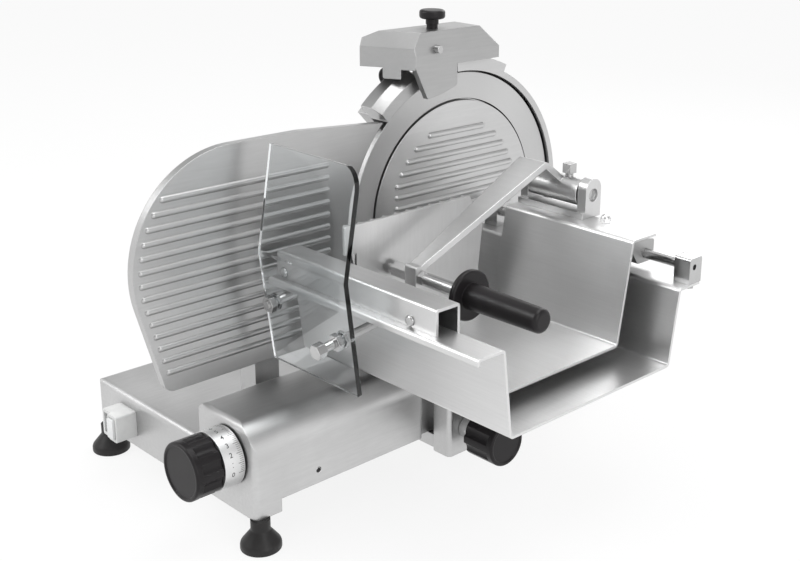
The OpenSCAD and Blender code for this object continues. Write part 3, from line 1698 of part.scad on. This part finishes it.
// Press arm: hinge tube, bent strap that tapers in plan, block round the handle's rod
module press_arm() {
  strap = rounded_path([
    [hinge_y, hinge_z + hinge_tube_r - strap_in],
    [peak_y, peak_z, peak_bend],
    [handle_y, handle_z + arm_block_top],
  ]);
  place() color(bright) difference() {
    union() {
      rod_x(tube_x, hinge_y, hinge_z, hinge_tube_len, hinge_tube_r);
      intersection() {
        yz_plate(arm_mid_x - arm_w, 2 * arm_w) polygon(sheet(strap, arm_t));
        translate([0, 0, handle_z]) linear_extrude(peak_z)
          polygon([[arm_mid_x + arm_w / 2, hinge_y], [arm_mid_x - arm_w / 2, hinge_y],
            [arm_mid_x - arm_w / 2, peak_y], [tip_x, handle_y + left_nut_r],
            [tip_x, handle_y - block_half], [tip_x + arm_tip_w, handle_y - block_half],
            [tip_x + arm_tip_w, handle_y + left_nut_r], [arm_mid_x + arm_w / 2, peak_y]]);
      }
      yz_plate(tip_x, arm_tip_w)
        polygon(rounded([[handle_y - block_half, handle_z - arm_block_low, block_round],
          [handle_y + block_half, handle_z - arm_block_low, block_round],
          [handle_y + block_half, handle_z + arm_block_top, 0],
          [handle_y - block_half, handle_z + arm_block_top, block_round]]));
    }
    rod_x(tube_x - over, hinge_y, hinge_z, hinge_tube_len + 2 * over, hinge_pin_r + run);
    rod_x(tip_x - over, handle_y, handle_z, arm_tip_w + 2 * over, thin_rod_r + run);
    rod_z(lock_x, hinge_y, hinge_z + hinge_tube_r - lock_depth, lock_depth + over, lock_r + run);
  }
}

module lock_screw() {
  low = hinge_z + hinge_tube_r - lock_depth + seat;
  head_z = hinge_z + hinge_tube_r + lock_neck;
  place() color(steel) union() {
    rod_z(lock_x, hinge_y, low, head_z + over - low, lock_r);
    box([lock_x - lock_head / 2, hinge_y - lock_head / 2, head_z],
      [lock_x + lock_head / 2, hinge_y + lock_head / 2, head_z + lock_head_h]);
  }
}

// Pusher plate: flat back, upright teeth towards the blade
module pusher_plate() {
  count = floor((pusher_rear - pusher_front - tooth_w) / tooth_pitch) + 1;
  teeth = [for (i = [0:count - 1])
    let (y = pusher_front + seat + i * tooth_pitch)
    each [[pusher_x, y], [pusher_x - tooth_depth, y + tooth_w / 2], [pusher_x, y + tooth_w]]];
  place() color(bright) intersection() {
    translate([0, 0, pusher_low]) linear_extrude(pusher_top - pusher_low)
      polygon(concat([[pusher_back_x, pusher_front], [pusher_x, pusher_front]], teeth,
        [[pusher_x, pusher_rear], [pusher_back_x, pusher_rear]]));
    yz_plate(pusher_x - tooth_depth, tooth_depth + pusher_t)
      polygon(rounded([[pusher_front + pusher_step, pusher_low, block_round],
        [pusher_waist, pusher_low, block_round], [pusher_waist, pusher_waist_z, 0],
        [pusher_rear, pusher_rear_z, 0], [pusher_top_end, pusher_top, block_round],
        [pusher_front, pusher_top, block_round], [pusher_front, pusher_step_z, 0],
        [pusher_front + pusher_step, pusher_step_z, 0]]));
  }
}

module handle_rod() {
  place() color(bright) union() {
    rod_x(pusher_back_x, handle_y, handle_z, right_nut_x + over - pusher_back_x, thin_rod_r);
    translate([left_nut_x, handle_y, handle_z]) rotate([0, 90, 0])
      cylinder(h = left_nut_t, r = left_nut_r, $fn = 6);
    translate([right_nut_x, handle_y, handle_z]) rotate([0, 90, 0])
      cylinder(h = right_nut_t, r = right_nut_r, $fn = 6);
    rod_x(right_nut_x + right_nut_t - over, handle_y, handle_z, handle_reach + over, handle_rod_r);
    rod_x(disc_x - over, handle_y, handle_z, stub_len, stub_r);
  }
}

// Black disc and grip, moulded in one piece on the rod
module handle_grip() {
  place() color(black) difference() {
    translate([disc_x, handle_y, handle_z]) rotate([0, 90, 0]) rotate_extrude()
      polygon(rounded([[0, 0, 0], [disc_r, 0, block_round], [disc_r, disc_t, block_round],
        [grip_r, disc_t, 0], [grip_r - grip_taper, disc_t + grip_len, grip_round],
        [0, disc_t + grip_len, 0]]));
    rod_x(disc_x - over, handle_y, handle_z, stub_len + over, stub_r + fit);
  }
}

base_casting();
bottom_cover();
foot_front_left();
foot_front_right();
foot_rear_left();
foot_rear_right();
carriage_rail();
guide_track();
cable_gland();
switch_housing();
start_button();
stop_button();
blade_housing();
ring_guard_right();
ring_guard_left();
blade();
blade_cover();
cover_tie_rod();
blade_shaft();
blade_bearings();
blade_pulley();
drive_belt();
belt_cover();
motor_housing();
motor_pulley();
gauge_guide_bars();
gauge_carrier();
gauge_plate();
index_shaft();
index_knob();
index_drum();
sharpener_post();
sharpener_cover();
sharpener_knob();
grinding_stone();
sharpener_push_pin();
sharpener_lock_knob();
carriage_post();
rail_bushes();
guide_shoe();
clamp_screw();
clamp_knob();
outer_tray();
front_channel();
channel_screws();
slide_rod();
rod_end_blocks();
rod_block_bolts();
guard_sheet();
guard_pins();
feed_tray();
feed_bearing();
glide_strip();
hinge_bracket();
hinge_pin();
press_arm();
lock_screw();
pusher_plate();
handle_rod();
handle_grip();
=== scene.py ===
import math

import bpy
from mathutils import Matrix, Vector


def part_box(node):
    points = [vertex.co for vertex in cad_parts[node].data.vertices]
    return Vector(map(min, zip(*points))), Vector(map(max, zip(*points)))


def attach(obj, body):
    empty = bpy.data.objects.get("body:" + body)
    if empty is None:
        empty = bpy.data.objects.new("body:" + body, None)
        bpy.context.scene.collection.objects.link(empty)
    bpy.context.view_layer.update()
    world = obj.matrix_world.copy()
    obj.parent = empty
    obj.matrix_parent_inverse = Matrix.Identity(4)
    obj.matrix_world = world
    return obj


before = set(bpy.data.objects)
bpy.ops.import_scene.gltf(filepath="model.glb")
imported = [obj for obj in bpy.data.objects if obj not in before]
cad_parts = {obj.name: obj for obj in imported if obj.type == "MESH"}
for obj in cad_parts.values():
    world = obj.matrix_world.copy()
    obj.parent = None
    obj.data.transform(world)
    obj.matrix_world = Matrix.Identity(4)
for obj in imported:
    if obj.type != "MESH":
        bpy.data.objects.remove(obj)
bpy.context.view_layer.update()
scene = bpy.context.scene
scene.view_settings.view_transform = "Standard"

# The camera, fitted to the photograph: azimuth, elevation and roll in degrees, place in metres,
# centre and focal length in pixels of the picture
camera_angles = (44.208, 17.31, 1.105)
camera_place = (1.048164, -0.950439, 0.742817)
picture_w, picture_h = 800, 561
centre_x, centre_y = 476.605, 228.999
focal_length = 1234.393
sensor_width = 36


def make_camera():
    azimuth, elevation, roll = (math.radians(v) for v in camera_angles)
    back = Vector((math.sin(azimuth) * math.cos(elevation),
                   -math.cos(azimuth) * math.cos(elevation), math.sin(elevation)))
    right = Vector((math.cos(azimuth), math.sin(azimuth), 0))
    up = back.cross(right)
    right, up = (right * math.cos(roll) + up * math.sin(roll),
                 up * math.cos(roll) - right * math.sin(roll))
    data = bpy.data.cameras.new("camera")
    data.sensor_width = sensor_width
    data.lens = focal_length / picture_w * sensor_width
    data.shift_x = (picture_w / 2 - centre_x) / picture_w
    data.shift_y = (centre_y - picture_h / 2) / picture_w
    data.clip_start = 0.05
    data.clip_end = 60
    camera = bpy.data.objects.new("camera", data)
    rows = [(right[i], up[i], back[i], camera_place[i]) for i in range(3)]
    camera.matrix_world = Matrix(rows + [(0, 0, 0, 1)])
    scene.collection.objects.link(camera)
    scene.camera = camera


make_camera()


# A node tree with short calls for the nodes used here
class Tree:
    def __init__(self, owner):
        self.nodes = owner.node_tree.nodes
        self.links = owner.node_tree.links

    def add(self, kind, inputs=None, **settings):
        node = self.nodes.new(kind)
        for key, value in settings.items():
            setattr(node, key, value)
        for key, value in (inputs or {}).items():
            self.put(node.inputs[key], value)
        return node

    def put(self, socket, value):
        if isinstance(value, bpy.types.NodeSocket):
            self.links.new(value, socket)
        else:
            socket.default_value = value

    def noise(self, vector, scale, detail, rough):
        node = self.add("ShaderNodeTexNoise", {
            "Vector": vector, "Scale": scale, "Detail": detail, "Roughness": rough})
        return node.outputs[0]

    def stretched(self, vector, scale):
        return self.add("ShaderNodeMapping", {"Vector": vector, "Scale": scale}).outputs[0]

    def ranged(self, value, low, high, to_low, to_high):
        node = self.add("ShaderNodeMapRange", {
            "Value": value, "From Min": low, "From Max": high, "To Min": to_low, "To Max": to_high})
        return node.outputs[0]

    def mix(self, amount, a, b):
        node = self.add("ShaderNodeMix", data_type="RGBA")
        self.put(node.inputs[0], amount)
        self.put(node.inputs[6], a)
        self.put(node.inputs[7], b)
        return node.outputs[2]

    def math(self, kind, a, b):
        return self.add("ShaderNodeMath", {0: a, 1: b}, operation=kind).outputs[0]

    # How open a place is: 1 on open faces, less in corners
    def open_share(self, distance):
        node = self.add("ShaderNodeAmbientOcclusion", {"Distance": distance}, samples=6)
        return node.outputs["AO"]

    def bump(self, height, distance, strength, normal):
        node = self.add("ShaderNodeBump", {
            "Height": height, "Distance": distance, "Strength": strength, "Normal": normal})
        return node.outputs[0]


def grey(value):
    return (value, value, value, 1.0)


def start(name):
    mat = bpy.data.materials.new(name)
    mat.use_nodes = True
    tree = Tree(mat)
    shader = tree.nodes["Principled BSDF"]
    place = tree.add("ShaderNodeTexCoord").outputs["Object"]
    return mat, tree, shader, place


# Rounded normal, and a mask of worn edges: 1 where it leaves the flat normal
def edges(tree, radius):
    soft = tree.add("ShaderNodeBevel", {"Radius": radius}, samples=6).outputs[0]
    flat = tree.add("ShaderNodeNewGeometry").outputs["Normal"]
    same = tree.add("ShaderNodeVectorMath", {0: soft, 1: flat}, operation="DOT_PRODUCT")
    return soft, tree.ranged(same.outputs["Value"], 0.99, 0.75, 0.0, 1.0)


# Metal with cast grain or brushed lines, cloudy patches, worn bright edges and painted shade darkening its
# corners
def metal(name, tone, rough, grain=0.0, brush=None, brush_depth=0.0, cloud=9.0, cloud_amount=0.10,
          spread=0.08, radius=0.0008, edge_light=0.10, aniso=0.0, axis=None, corner_shade=0.35):
    fine_scale = 900.0
    streak_tone, corner_shade_tone, edge_tone = 0.86, 0.30, 1.18
    streak_amount = 0.35
    corner_shade_reach = 0.018
    edge_polish = 0.06
    grain_strength, brush_strength = 0.6, 0.5
    mat, tree, shader, place = start(name)
    cloudy = tree.noise(place, cloud, 4.0, 0.6)
    fine = tree.noise(place, fine_scale, 2.0, 0.6)
    lines = tree.noise(tree.stretched(place, brush), 1.0, 4.0, 0.65) if brush else fine
    soft, worn = edges(tree, radius)
    dark = grey(tone * (1 - cloud_amount))
    light = grey(min(1.0, tone * (1 + cloud_amount)))
    colour = tree.mix(tree.ranged(cloudy, 0.32, 0.68, 0.0, 1.0), dark, light)
    streak = tree.ranged(lines, 0.3, 0.7, 0.0, streak_amount)
    colour = tree.mix(streak, colour, grey(tone * streak_tone))
    # Painted shade: corners and crevices darkened by ambient occlusion, towards a dark tone
    painted_shade = tree.ranged(tree.open_share(corner_shade_reach), 0.35, 0.95, corner_shade, 0.0)
    colour = tree.mix(painted_shade, colour, grey(tone * corner_shade_tone))
    polished = tree.math("MULTIPLY", worn, edge_light * 4)
    colour = tree.mix(polished, colour, grey(min(1.0, tone * edge_tone)))
    tree.put(shader.inputs["Base Color"], colour)
    uneven = tree.ranged(tree.math("ADD", cloudy, lines), 0.75, 1.25,
                         rough - spread / 2, rough + spread / 2)
    uneven = tree.math("SUBTRACT", uneven, tree.math("MULTIPLY", worn, edge_polish))
    tree.put(shader.inputs["Roughness"], uneven)
    normal = soft
    if grain:
        normal = tree.bump(fine, grain, grain_strength, normal)
    if brush_depth:
        normal = tree.bump(lines, brush_depth, brush_strength, normal)
    tree.put(shader.inputs["Normal"], normal)
    shader.inputs["Metallic"].default_value = 1.0
    shader.inputs["Anisotropic"].default_value = aniso
    if axis:
        tangent = tree.add("ShaderNodeTangent", direction_type="RADIAL", axis=axis).outputs[0]
        tree.put(shader.inputs["Tangent"], tangent)
    return mat


# Moulded plastic or rubber with a fine texture, dust in its corners and polished edges
def plastic(name, colour, rough, texture=0.00004, radius=0.0009, scale=700.0, edge=1.6, dust=0.10,
            shine=0.5):
    cloud_scale = 24.0
    low_tone, high_tone = 0.86, 1.12
    edge_amount = 0.5
    dust_reach, dust_tone = 0.01, 0.02
    spread = 0.10
    bump_strength = 0.5
    mat, tree, shader, place = start(name)
    cloudy = tree.noise(place, cloud_scale, 3.0, 0.6)
    fine = tree.noise(place, scale, 3.0, 0.6)
    soft, worn = edges(tree, radius)
    low = [v * low_tone for v in colour] + [1.0]
    high = [min(1.0, v * high_tone) for v in colour] + [1.0]
    rubbed = [min(1.0, v * edge) for v in colour] + [1.0]
    base = tree.mix(tree.ranged(cloudy, 0.3, 0.7, 0.0, 1.0), low, high)
    base = tree.mix(tree.math("MULTIPLY", worn, edge_amount), base, rubbed)
    dusty = tree.ranged(tree.open_share(dust_reach), 0.3, 0.9, dust, 0.0)
    base = tree.mix(dusty, base, grey(sum(colour) / 6 + dust_tone))
    tree.put(shader.inputs["Base Color"], base)
    uneven = tree.ranged(cloudy, 0.3, 0.7, rough - spread / 2, rough + spread / 2)
    tree.put(shader.inputs["Roughness"], uneven)
    tree.put(shader.inputs["Normal"], tree.bump(fine, texture, bump_strength, soft))
    shader.inputs["Specular IOR Level"].default_value = shine
    return mat


cast = metal("cast_aluminium", 0.60, 0.40, grain=0.00006, brush=(260, 26, 260), brush_depth=0.00003,
             cloud=7.0, cloud_amount=0.09, spread=0.10, radius=0.0014, aniso=0.25, axis="Z")
cast_back = metal("cast_back", 0.48, 0.46, grain=0.00012, cloud=11.0, spread=0.10, radius=0.0012)
ribbed = metal("ribbed_plate", 0.53, 0.34, grain=0.00002, brush=(300, 18, 300), brush_depth=0.00002,
               cloud=5.0, cloud_amount=0.07, radius=0.0010)
cover = metal("blade_cover", 0.62, 0.36, grain=0.00003, brush=(300, 20, 300), brush_depth=0.00002,
              cloud=8.0, cloud_amount=0.05, radius=0.0010)
tray = metal("tray_sheet", 0.78, 0.40, brush=(14, 420, 420), brush_depth=0.00001, cloud=4.0,
             cloud_amount=0.05, spread=0.06, radius=0.0010, corner_shade=0.10)
feed = metal("feed_sheet", 0.78, 0.38, brush=(12, 400, 400), brush_depth=0.00001, cloud=4.0,
             cloud_amount=0.05, spread=0.06, radius=0.0010, corner_shade=0.10)
bright = metal("polished_steel", 0.56, 0.22, grain=0.00001, brush=(60, 340, 60), brush_depth=0.00001,
               cloud=14.0, cloud_amount=0.05, spread=0.06)
ground = metal("ground_blade", 0.60, 0.30, brush=(900, 900, 900), brush_depth=0.000006, cloud=3.0,
               cloud_amount=0.03, spread=0.04, radius=0.0003, aniso=0.90, axis="X", corner_shade=0.15)
turned = metal("turned_steel", 0.72, 0.24, brush=(900, 60, 60), brush_depth=0.00001, cloud=14.0,
               cloud_amount=0.05, spread=0.06, radius=0.0006)
arm_metal = metal("arm_steel", 0.70, 0.32, brush=(26, 200, 26), brush_depth=0.000006,
                  cloud_amount=0.05, spread=0.05, radius=0.0012, corner_shade=0.2)
shell = metal("sharpener_shell", 0.46, 0.34, grain=0.00002, brush=(300, 18, 300), brush_depth=0.00001,
              cloud=8.0, cloud_amount=0.06, radius=0.0014, edge_light=0.22)
dial = metal("dial_metal", 0.80, 0.45, grain=0.00001, cloud=18.0, cloud_amount=0.03, spread=0.06,
             radius=0.0006)
black = plastic("black_plastic", (0.013, 0.0115, 0.0125), 0.34, texture=0.00005, radius=0.0012,
                edge=2.4, shine=0.24)
wear_plastic = plastic("bearing_plastic", (0.05, 0.05, 0.05), 0.45)
rubber = plastic("foot_rubber", (0.020, 0.019, 0.019), 0.42, texture=0.00008, radius=0.0015,
                 edge=2.0, shine=0.3)
belt_rubber = plastic("belt_rubber", (0.03, 0.03, 0.03), 0.6, texture=0.0001)
pale = plastic("light_plastic", (0.66, 0.665, 0.66), 0.38, texture=0.00003, radius=0.0008,
               edge=1.35, dust=0.3)
pale_button = plastic("button_plastic", (0.72, 0.73, 0.73), 0.32, texture=0.00002, radius=0.0007,
                      edge=1.3, dust=0.3)
stone = plastic("grinding_stone", (0.42, 0.40, 0.37), 0.9, texture=0.0003, scale=1500.0, edge=1.1)
print_black = plastic("printed_black", (0.03, 0.03, 0.03), 0.5, texture=0.00001, radius=0.0001)


# Clear sheet with softened edges, faint cloudiness and fine upright scratches
def clear_sheet():
    low_tint, high_tint = (0.90, 0.93, 0.94, 1), (0.95, 0.97, 0.975, 1)
    scratch_scale = (300, 300, 40)
    edge_radius = 0.0008
    wave_depth, wave_strength = 0.0004, 0.15
    mat, tree, shader, place = start("clear_sheet")
    fine = tree.noise(tree.stretched(place, scratch_scale), 1.0, 4.0, 0.7)
    cloudy = tree.noise(place, 10.0, 3.0, 0.5)
    tint = tree.mix(tree.ranged(cloudy, 0.3, 0.7, 0.0, 1.0), low_tint, high_tint)
    tree.put(shader.inputs["Base Color"], tint)
    tree.put(shader.inputs["Roughness"], tree.ranged(fine, 0.35, 0.75, 0.01, 0.06))
    soft = tree.add("ShaderNodeBevel", {"Radius": edge_radius}, samples=4).outputs[0]
    tree.put(shader.inputs["Normal"], tree.bump(cloudy, wave_depth, wave_strength, soft))
    shader.inputs["Transmission Weight"].default_value = 1.0
    shader.inputs["IOR"].default_value = 1.49
    return mat


clear = clear_sheet()

looks = {
    cast: ["base_casting", "carriage_post"],
    cast_back: ["blade_housing", "belt_cover", "motor_housing", "gauge_carrier", "feed_bearing"],
    ribbed: ["gauge_plate"],
    cover: ["blade_cover", "ring_guard_right"],
    shell: ["sharpener_cover", "ring_guard_left"],
    tray: ["outer_tray", "bottom_cover"],
    feed: ["feed_tray"],
    bright: ["carriage_rail", "guide_track", "slide_rod", "guard_pins", "gauge_guide_bars",
             "handle_rod", "sharpener_post", "sharpener_push_pin", "channel_screws", "clamp_screw",
             "hinge_pin", "lock_screw", "rod_block_bolts", "rod_end_blocks"],
    arm_metal: ["press_arm", "hinge_bracket", "pusher_plate", "front_channel"],
    ground: ["blade"],
    turned: ["blade_shaft", "blade_bearings", "blade_pulley", "motor_pulley", "cover_tie_rod",
             "index_shaft"],
    dial: ["index_drum"],
    black: ["index_knob", "clamp_knob", "handle_grip", "sharpener_knob", "sharpener_lock_knob",
            "cable_gland"],
    wear_plastic: ["rail_bushes", "guide_shoe", "glide_strip"],
    rubber: ["foot_front_left", "foot_front_right", "foot_rear_left", "foot_rear_right"],
    belt_rubber: ["drive_belt"],
    pale: ["switch_housing"],
    pale_button: ["start_button", "stop_button"],
    clear: ["guard_sheet"],
    stone: ["grinding_stone"],
}
for look, names in looks.items():
    for name in names:
        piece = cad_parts[name]
        for i in range(len(piece.material_slots)):
            piece.material_slots[i].material = look


# New mesh piece from corners and faces, riding on a body
def piece_of(name, corners, faces, body, look):
    mesh = bpy.data.meshes.new(name)
    mesh.from_pydata(corners, [], faces)
    mesh.update()
    piece = bpy.data.objects.new(name, mesh)
    scene.collection.objects.link(piece)
    mesh.materials.append(look)
    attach(piece, body)


# The graduated drum, its axis along Y, and the turn that its scale spans, in degrees
drum_low, drum_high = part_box("index_drum")
drum_x = (drum_low[0] + drum_high[0]) / 2
drum_z = (drum_low[2] + drum_high[2]) / 2
drum_r = (drum_high[2] - drum_low[2]) / 2
drum_back = drum_high[1]
scale_start = 100
scale_turn = 300
number_count = 16
lines_to_a_number = 5


# Point on the drum, at an angle from its top and a place along its axis
def on_drum(angle, y, lift=0.00006):
    r = drum_r + lift
    return (drum_x + r * math.sin(angle), y, drum_z + r * math.cos(angle))


# Graduation lines, wrapped round the drum, the longer ones at the numbers
def dial_lines():
    line_gap = 0.0014
    long_length, short_length = 0.0066, 0.0042
    long_half, short_half = 0.00026, 0.00018
    sunk, raised = -0.0002, 0.00005
    corners = []
    faces = []
    count = number_count * lines_to_a_number
    for i in range(count + 1):
        angle = math.radians(scale_start - i * scale_turn / count)
        long_line = i % lines_to_a_number == 0
        half = (long_half if long_line else short_half) / drum_r
        y1 = drum_back - line_gap
        y2 = y1 - (long_length if long_line else short_length)
        first = len(corners)
        for y in (y1, y2):
            for lift in (sunk, raised):
                for side in (-half, half):
                    corners.append(on_drum(angle + side, y, lift))
        for quad in ((0, 1, 3, 2), (4, 6, 7, 5), (0, 2, 6, 4), (1, 5, 7, 3), (2, 3, 7, 6), (0, 4, 5, 1)):
            faces.append([first + k for k in quad])
    piece_of("dial_lines", corners, faces, "index", print_black)


# Numbers, wrapped round the drum, their lines of text along its axis
def dial_numbers():
    text_size = 0.0078
    text_weight = 0.00006
    half_height = 0.0027
    middle_in = 0.0150
    corners = []
    faces = []
    for number in range(number_count + 1):
        data = bpy.data.curves.new(f"number_{number}", "FONT")
        data.body = str(number)
        data.size = text_size
        data.align_x = "CENTER"
        data.resolution_u = 3
        data.offset = text_weight
        text = bpy.data.objects.new(f"number_{number}", data)
        scene.collection.objects.link(text)
        bpy.context.view_layer.update()
        mesh = text.to_mesh()
        first = len(corners)
        middle = math.radians(scale_start - number * scale_turn / number_count)
        for v in mesh.vertices:
            angle = middle - (v.co.y - half_height) / drum_r
            corners.append(on_drum(angle, drum_back - middle_in + v.co.x))
        for p in mesh.polygons:
            faces.append([first + k for k in p.vertices])
        text.to_mesh_clear()
        bpy.data.objects.remove(text)
        bpy.data.curves.remove(data)
    piece_of("dial_numbers", corners, faces, "index", print_black)


dial_lines()
dial_numbers()


# Where a straight look from a place meets a CAD piece, or nothing
def seat_on(name, place, way):
    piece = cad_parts[name]
    inside = piece.matrix_world.inverted()
    start_at, look_along = inside @ Vector(place), inside.to_3x3() @ Vector(way)
    hit, point, normal, face = piece.ray_cast(start_at, look_along)
    return piece.matrix_world @ point if hit else None


# Small hexagon-socket screws on flat faces, their heads pointing back along the look
def screws(name, carrier, places, way, r, h, body):
    sides = 24
    sunk = -0.0002
    top_r, socket_r = r * 0.86, r * 0.52
    rings = ((r, sunk), (r, h * 0.8), (top_r, h), (socket_r, h), (socket_r, h * 0.35))
    first_hexagon = 3
    flat_turn = math.pi / 3
    out = -Vector(way)
    across = out.orthogonal().normalized()
    up = out.cross(across)
    corners = []
    faces = []
    for place in places:
        seat = seat_on(carrier, place, way)
        if seat is None:
            continue
        first = len(corners)
        for ring, (radius, height) in enumerate(rings):
            for i in range(sides):
                angle = 2 * math.pi * i / sides
                far = radius
                if ring >= first_hexagon:
                    far *= math.cos(flat_turn / 2) / math.cos((angle % flat_turn) - flat_turn / 2)
                on_ring = across * far * math.cos(angle) + up * far * math.sin(angle)
                corners.append(seat + on_ring + out * height)
        for ring in range(len(rings) - 1):
            for i in range(sides):
                a = first + ring * sides + i
                b = first + ring * sides + (i + 1) % sides
                faces.append((a, b, b + sides, a + sides))
        faces.append([first + (len(rings) - 1) * sides + i for i in range(sides)])
        faces.append([first + i for i in reversed(range(sides))])
    piece_of(name, corners, faces, body, bright)


# Places on a circle in a plane across X, at angles in degrees from +Y
def round_x(x, middle_y, middle_z, r, angles):
    turns = [math.radians(a) for a in angles]
    return [(x, middle_y + r * math.cos(t), middle_z + r * math.sin(t)) for t in turns]


look_from = 0.03
shaft_y = 0.1405
shaft_z = (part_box("blade")[0][2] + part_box("blade")[1][2]) / 2
belt_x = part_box("belt_cover")[0][0] - look_from
belt_places = round_x(belt_x, shaft_y, shaft_z, 0.054, (20, 90, 160, 215))
screws("belt_cover_screws", "belt_cover", belt_places, (1, 0, 0), 0.0042, 0.0026, "base")

motor_low, motor_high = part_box("motor_housing")
motor_y = (motor_low[1] + motor_high[1]) / 2
motor_z = motor_high[2] - (motor_high[1] - motor_low[1]) / 2
motor_places = round_x(motor_low[0] - look_from, motor_y, motor_z, 0.043, (45, 135, 225, 315))
screws("motor_screws", "motor_housing", motor_places, (1, 0, 0), 0.0036, 0.0004, "base")

cover_low, cover_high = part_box("bottom_cover")
edge_in, end_in = 0.009, 0.13
below_z = 0.01
bottom_places = [(x, y, below_z) for x in (cover_low[0] + edge_in, cover_high[0] - edge_in)
                 for y in (cover_low[1] + end_in, (cover_low[1] + cover_high[1]) / 2, cover_high[1] - end_in)]
screws("bottom_screws", "bottom_cover", bottom_places, (0, 0, 1), 0.0035, 0.0014, "base")


# Grey ramp over a value, from pairs of place and tone
def shades(tree, value, stops):
    ramp = tree.add("ShaderNodeValToRGB", {"Fac": value})
    steps = ramp.color_ramp.elements
    steps[0].position, steps[1].position = stops[0][0], stops[-1][0]
    steps[0].color, steps[1].color = grey(stops[0][1]), grey(stops[-1][1])
    for place, tone in stops[1:-1]:
        steps.new(place).color = grey(tone)
    return ramp.outputs["Color"]


# 1 for the rays that see the white backdrop: from the camera, through glass and off shiny faces
def sees_backdrop(tree):
    ray = tree.add("ShaderNodeLightPath").outputs
    seen = tree.math("MAXIMUM", ray["Is Camera Ray"], ray["Is Transmission Ray"])
    return tree.math("MAXIMUM", seen, ray["Is Glossy Ray"])


# Studio: a white backdrop with a darker ceiling, and a plain soft room for the light.
# Each stop holds a height, from 0 straight down to 1 straight up, and a tone.
def make_world():
    room_stops = [(0.0, 0.62), (0.5, 0.55), (0.8, 0.75), (1.0, 0.9)]
    backdrop_stops = [(0.0, 1.0), (0.62, 1.0), (0.74, 0.35), (0.86, 0.50), (0.94, 1.0), (1.0, 1.0)]
    world = bpy.data.worlds.new("studio")
    world.use_nodes = True
    scene.world = world
    tree = Tree(world)
    back = tree.nodes["Background"]
    way = tree.add("ShaderNodeTexCoord").outputs["Generated"]
    height = tree.add("ShaderNodeSeparateXYZ", {0: way}).outputs["Z"]
    level = tree.ranged(height, -1.0, 1.0, 0.0, 1.0)
    room = shades(tree, level, room_stops)
    backdrop = shades(tree, level, backdrop_stops)
    tree.put(back.inputs["Color"], tree.mix(sees_backdrop(tree), room, backdrop))
    back.inputs["Strength"].default_value = 1.0


# Floor: white where the backdrop is seen, with the object's soft shadow left on it
def make_floor():
    half = 9
    floor_tone = 0.82
    white_share = 0.86
    corners = [(-half, -half, 0), (half, -half, 0), (half, half, 0), (-half, half, 0)]
    mesh = bpy.data.meshes.new("floor")
    mesh.from_pydata(corners, [], [(0, 1, 2, 3)])
    floor = bpy.data.objects.new("floor", mesh)
    scene.collection.objects.link(floor)
    mat = bpy.data.materials.new("floor")
    mat.use_nodes = True
    tree = Tree(mat)
    tree.nodes.remove(tree.nodes["Principled BSDF"])
    plain = tree.add("ShaderNodeBsdfDiffuse", {"Color": grey(floor_tone)}).outputs[0]
    white = tree.add("ShaderNodeEmission", {"Color": grey(1.0), "Strength": 1.0}).outputs[0]
    amount = tree.math("MULTIPLY", sees_backdrop(tree), white_share)
    both = tree.add("ShaderNodeMixShader", {0: amount, 1: plain, 2: white}).outputs[0]
    tree.put(tree.nodes["Material Output"].inputs["Surface"], both)
    mesh.materials.append(mat)


# Rectangular lamp of a size in metres and a power in watts, turned to a target
def lamp(name, place, target, size, power):
    data = bpy.data.lights.new(name, "AREA")
    data.shape = "RECTANGLE"
    data.size, data.size_y = size
    data.energy = power
    piece = bpy.data.objects.new(name, data)
    piece.location = place
    piece.rotation_euler = (Vector(target) - Vector(place)).to_track_quat("-Z", "Y").to_euler()
    scene.collection.objects.link(piece)


make_world()
make_floor()
lamp("key", (-1.3, -1.7, 1.9), (0, 0, 0.2), (1.5, 1.1), 26)
lamp("top", (0.2, 0.3, 2.3), (0, 0, 0.2), (2.0, 1.2), 20)
lamp("side", (2.1, -0.3, 1.1), (0, 0, 0.25), (0.9, 1.4), 12)
lamp("back", (-0.5, 2.0, 1.5), (0, 0, 0.3), (1.6, 0.8), 14)
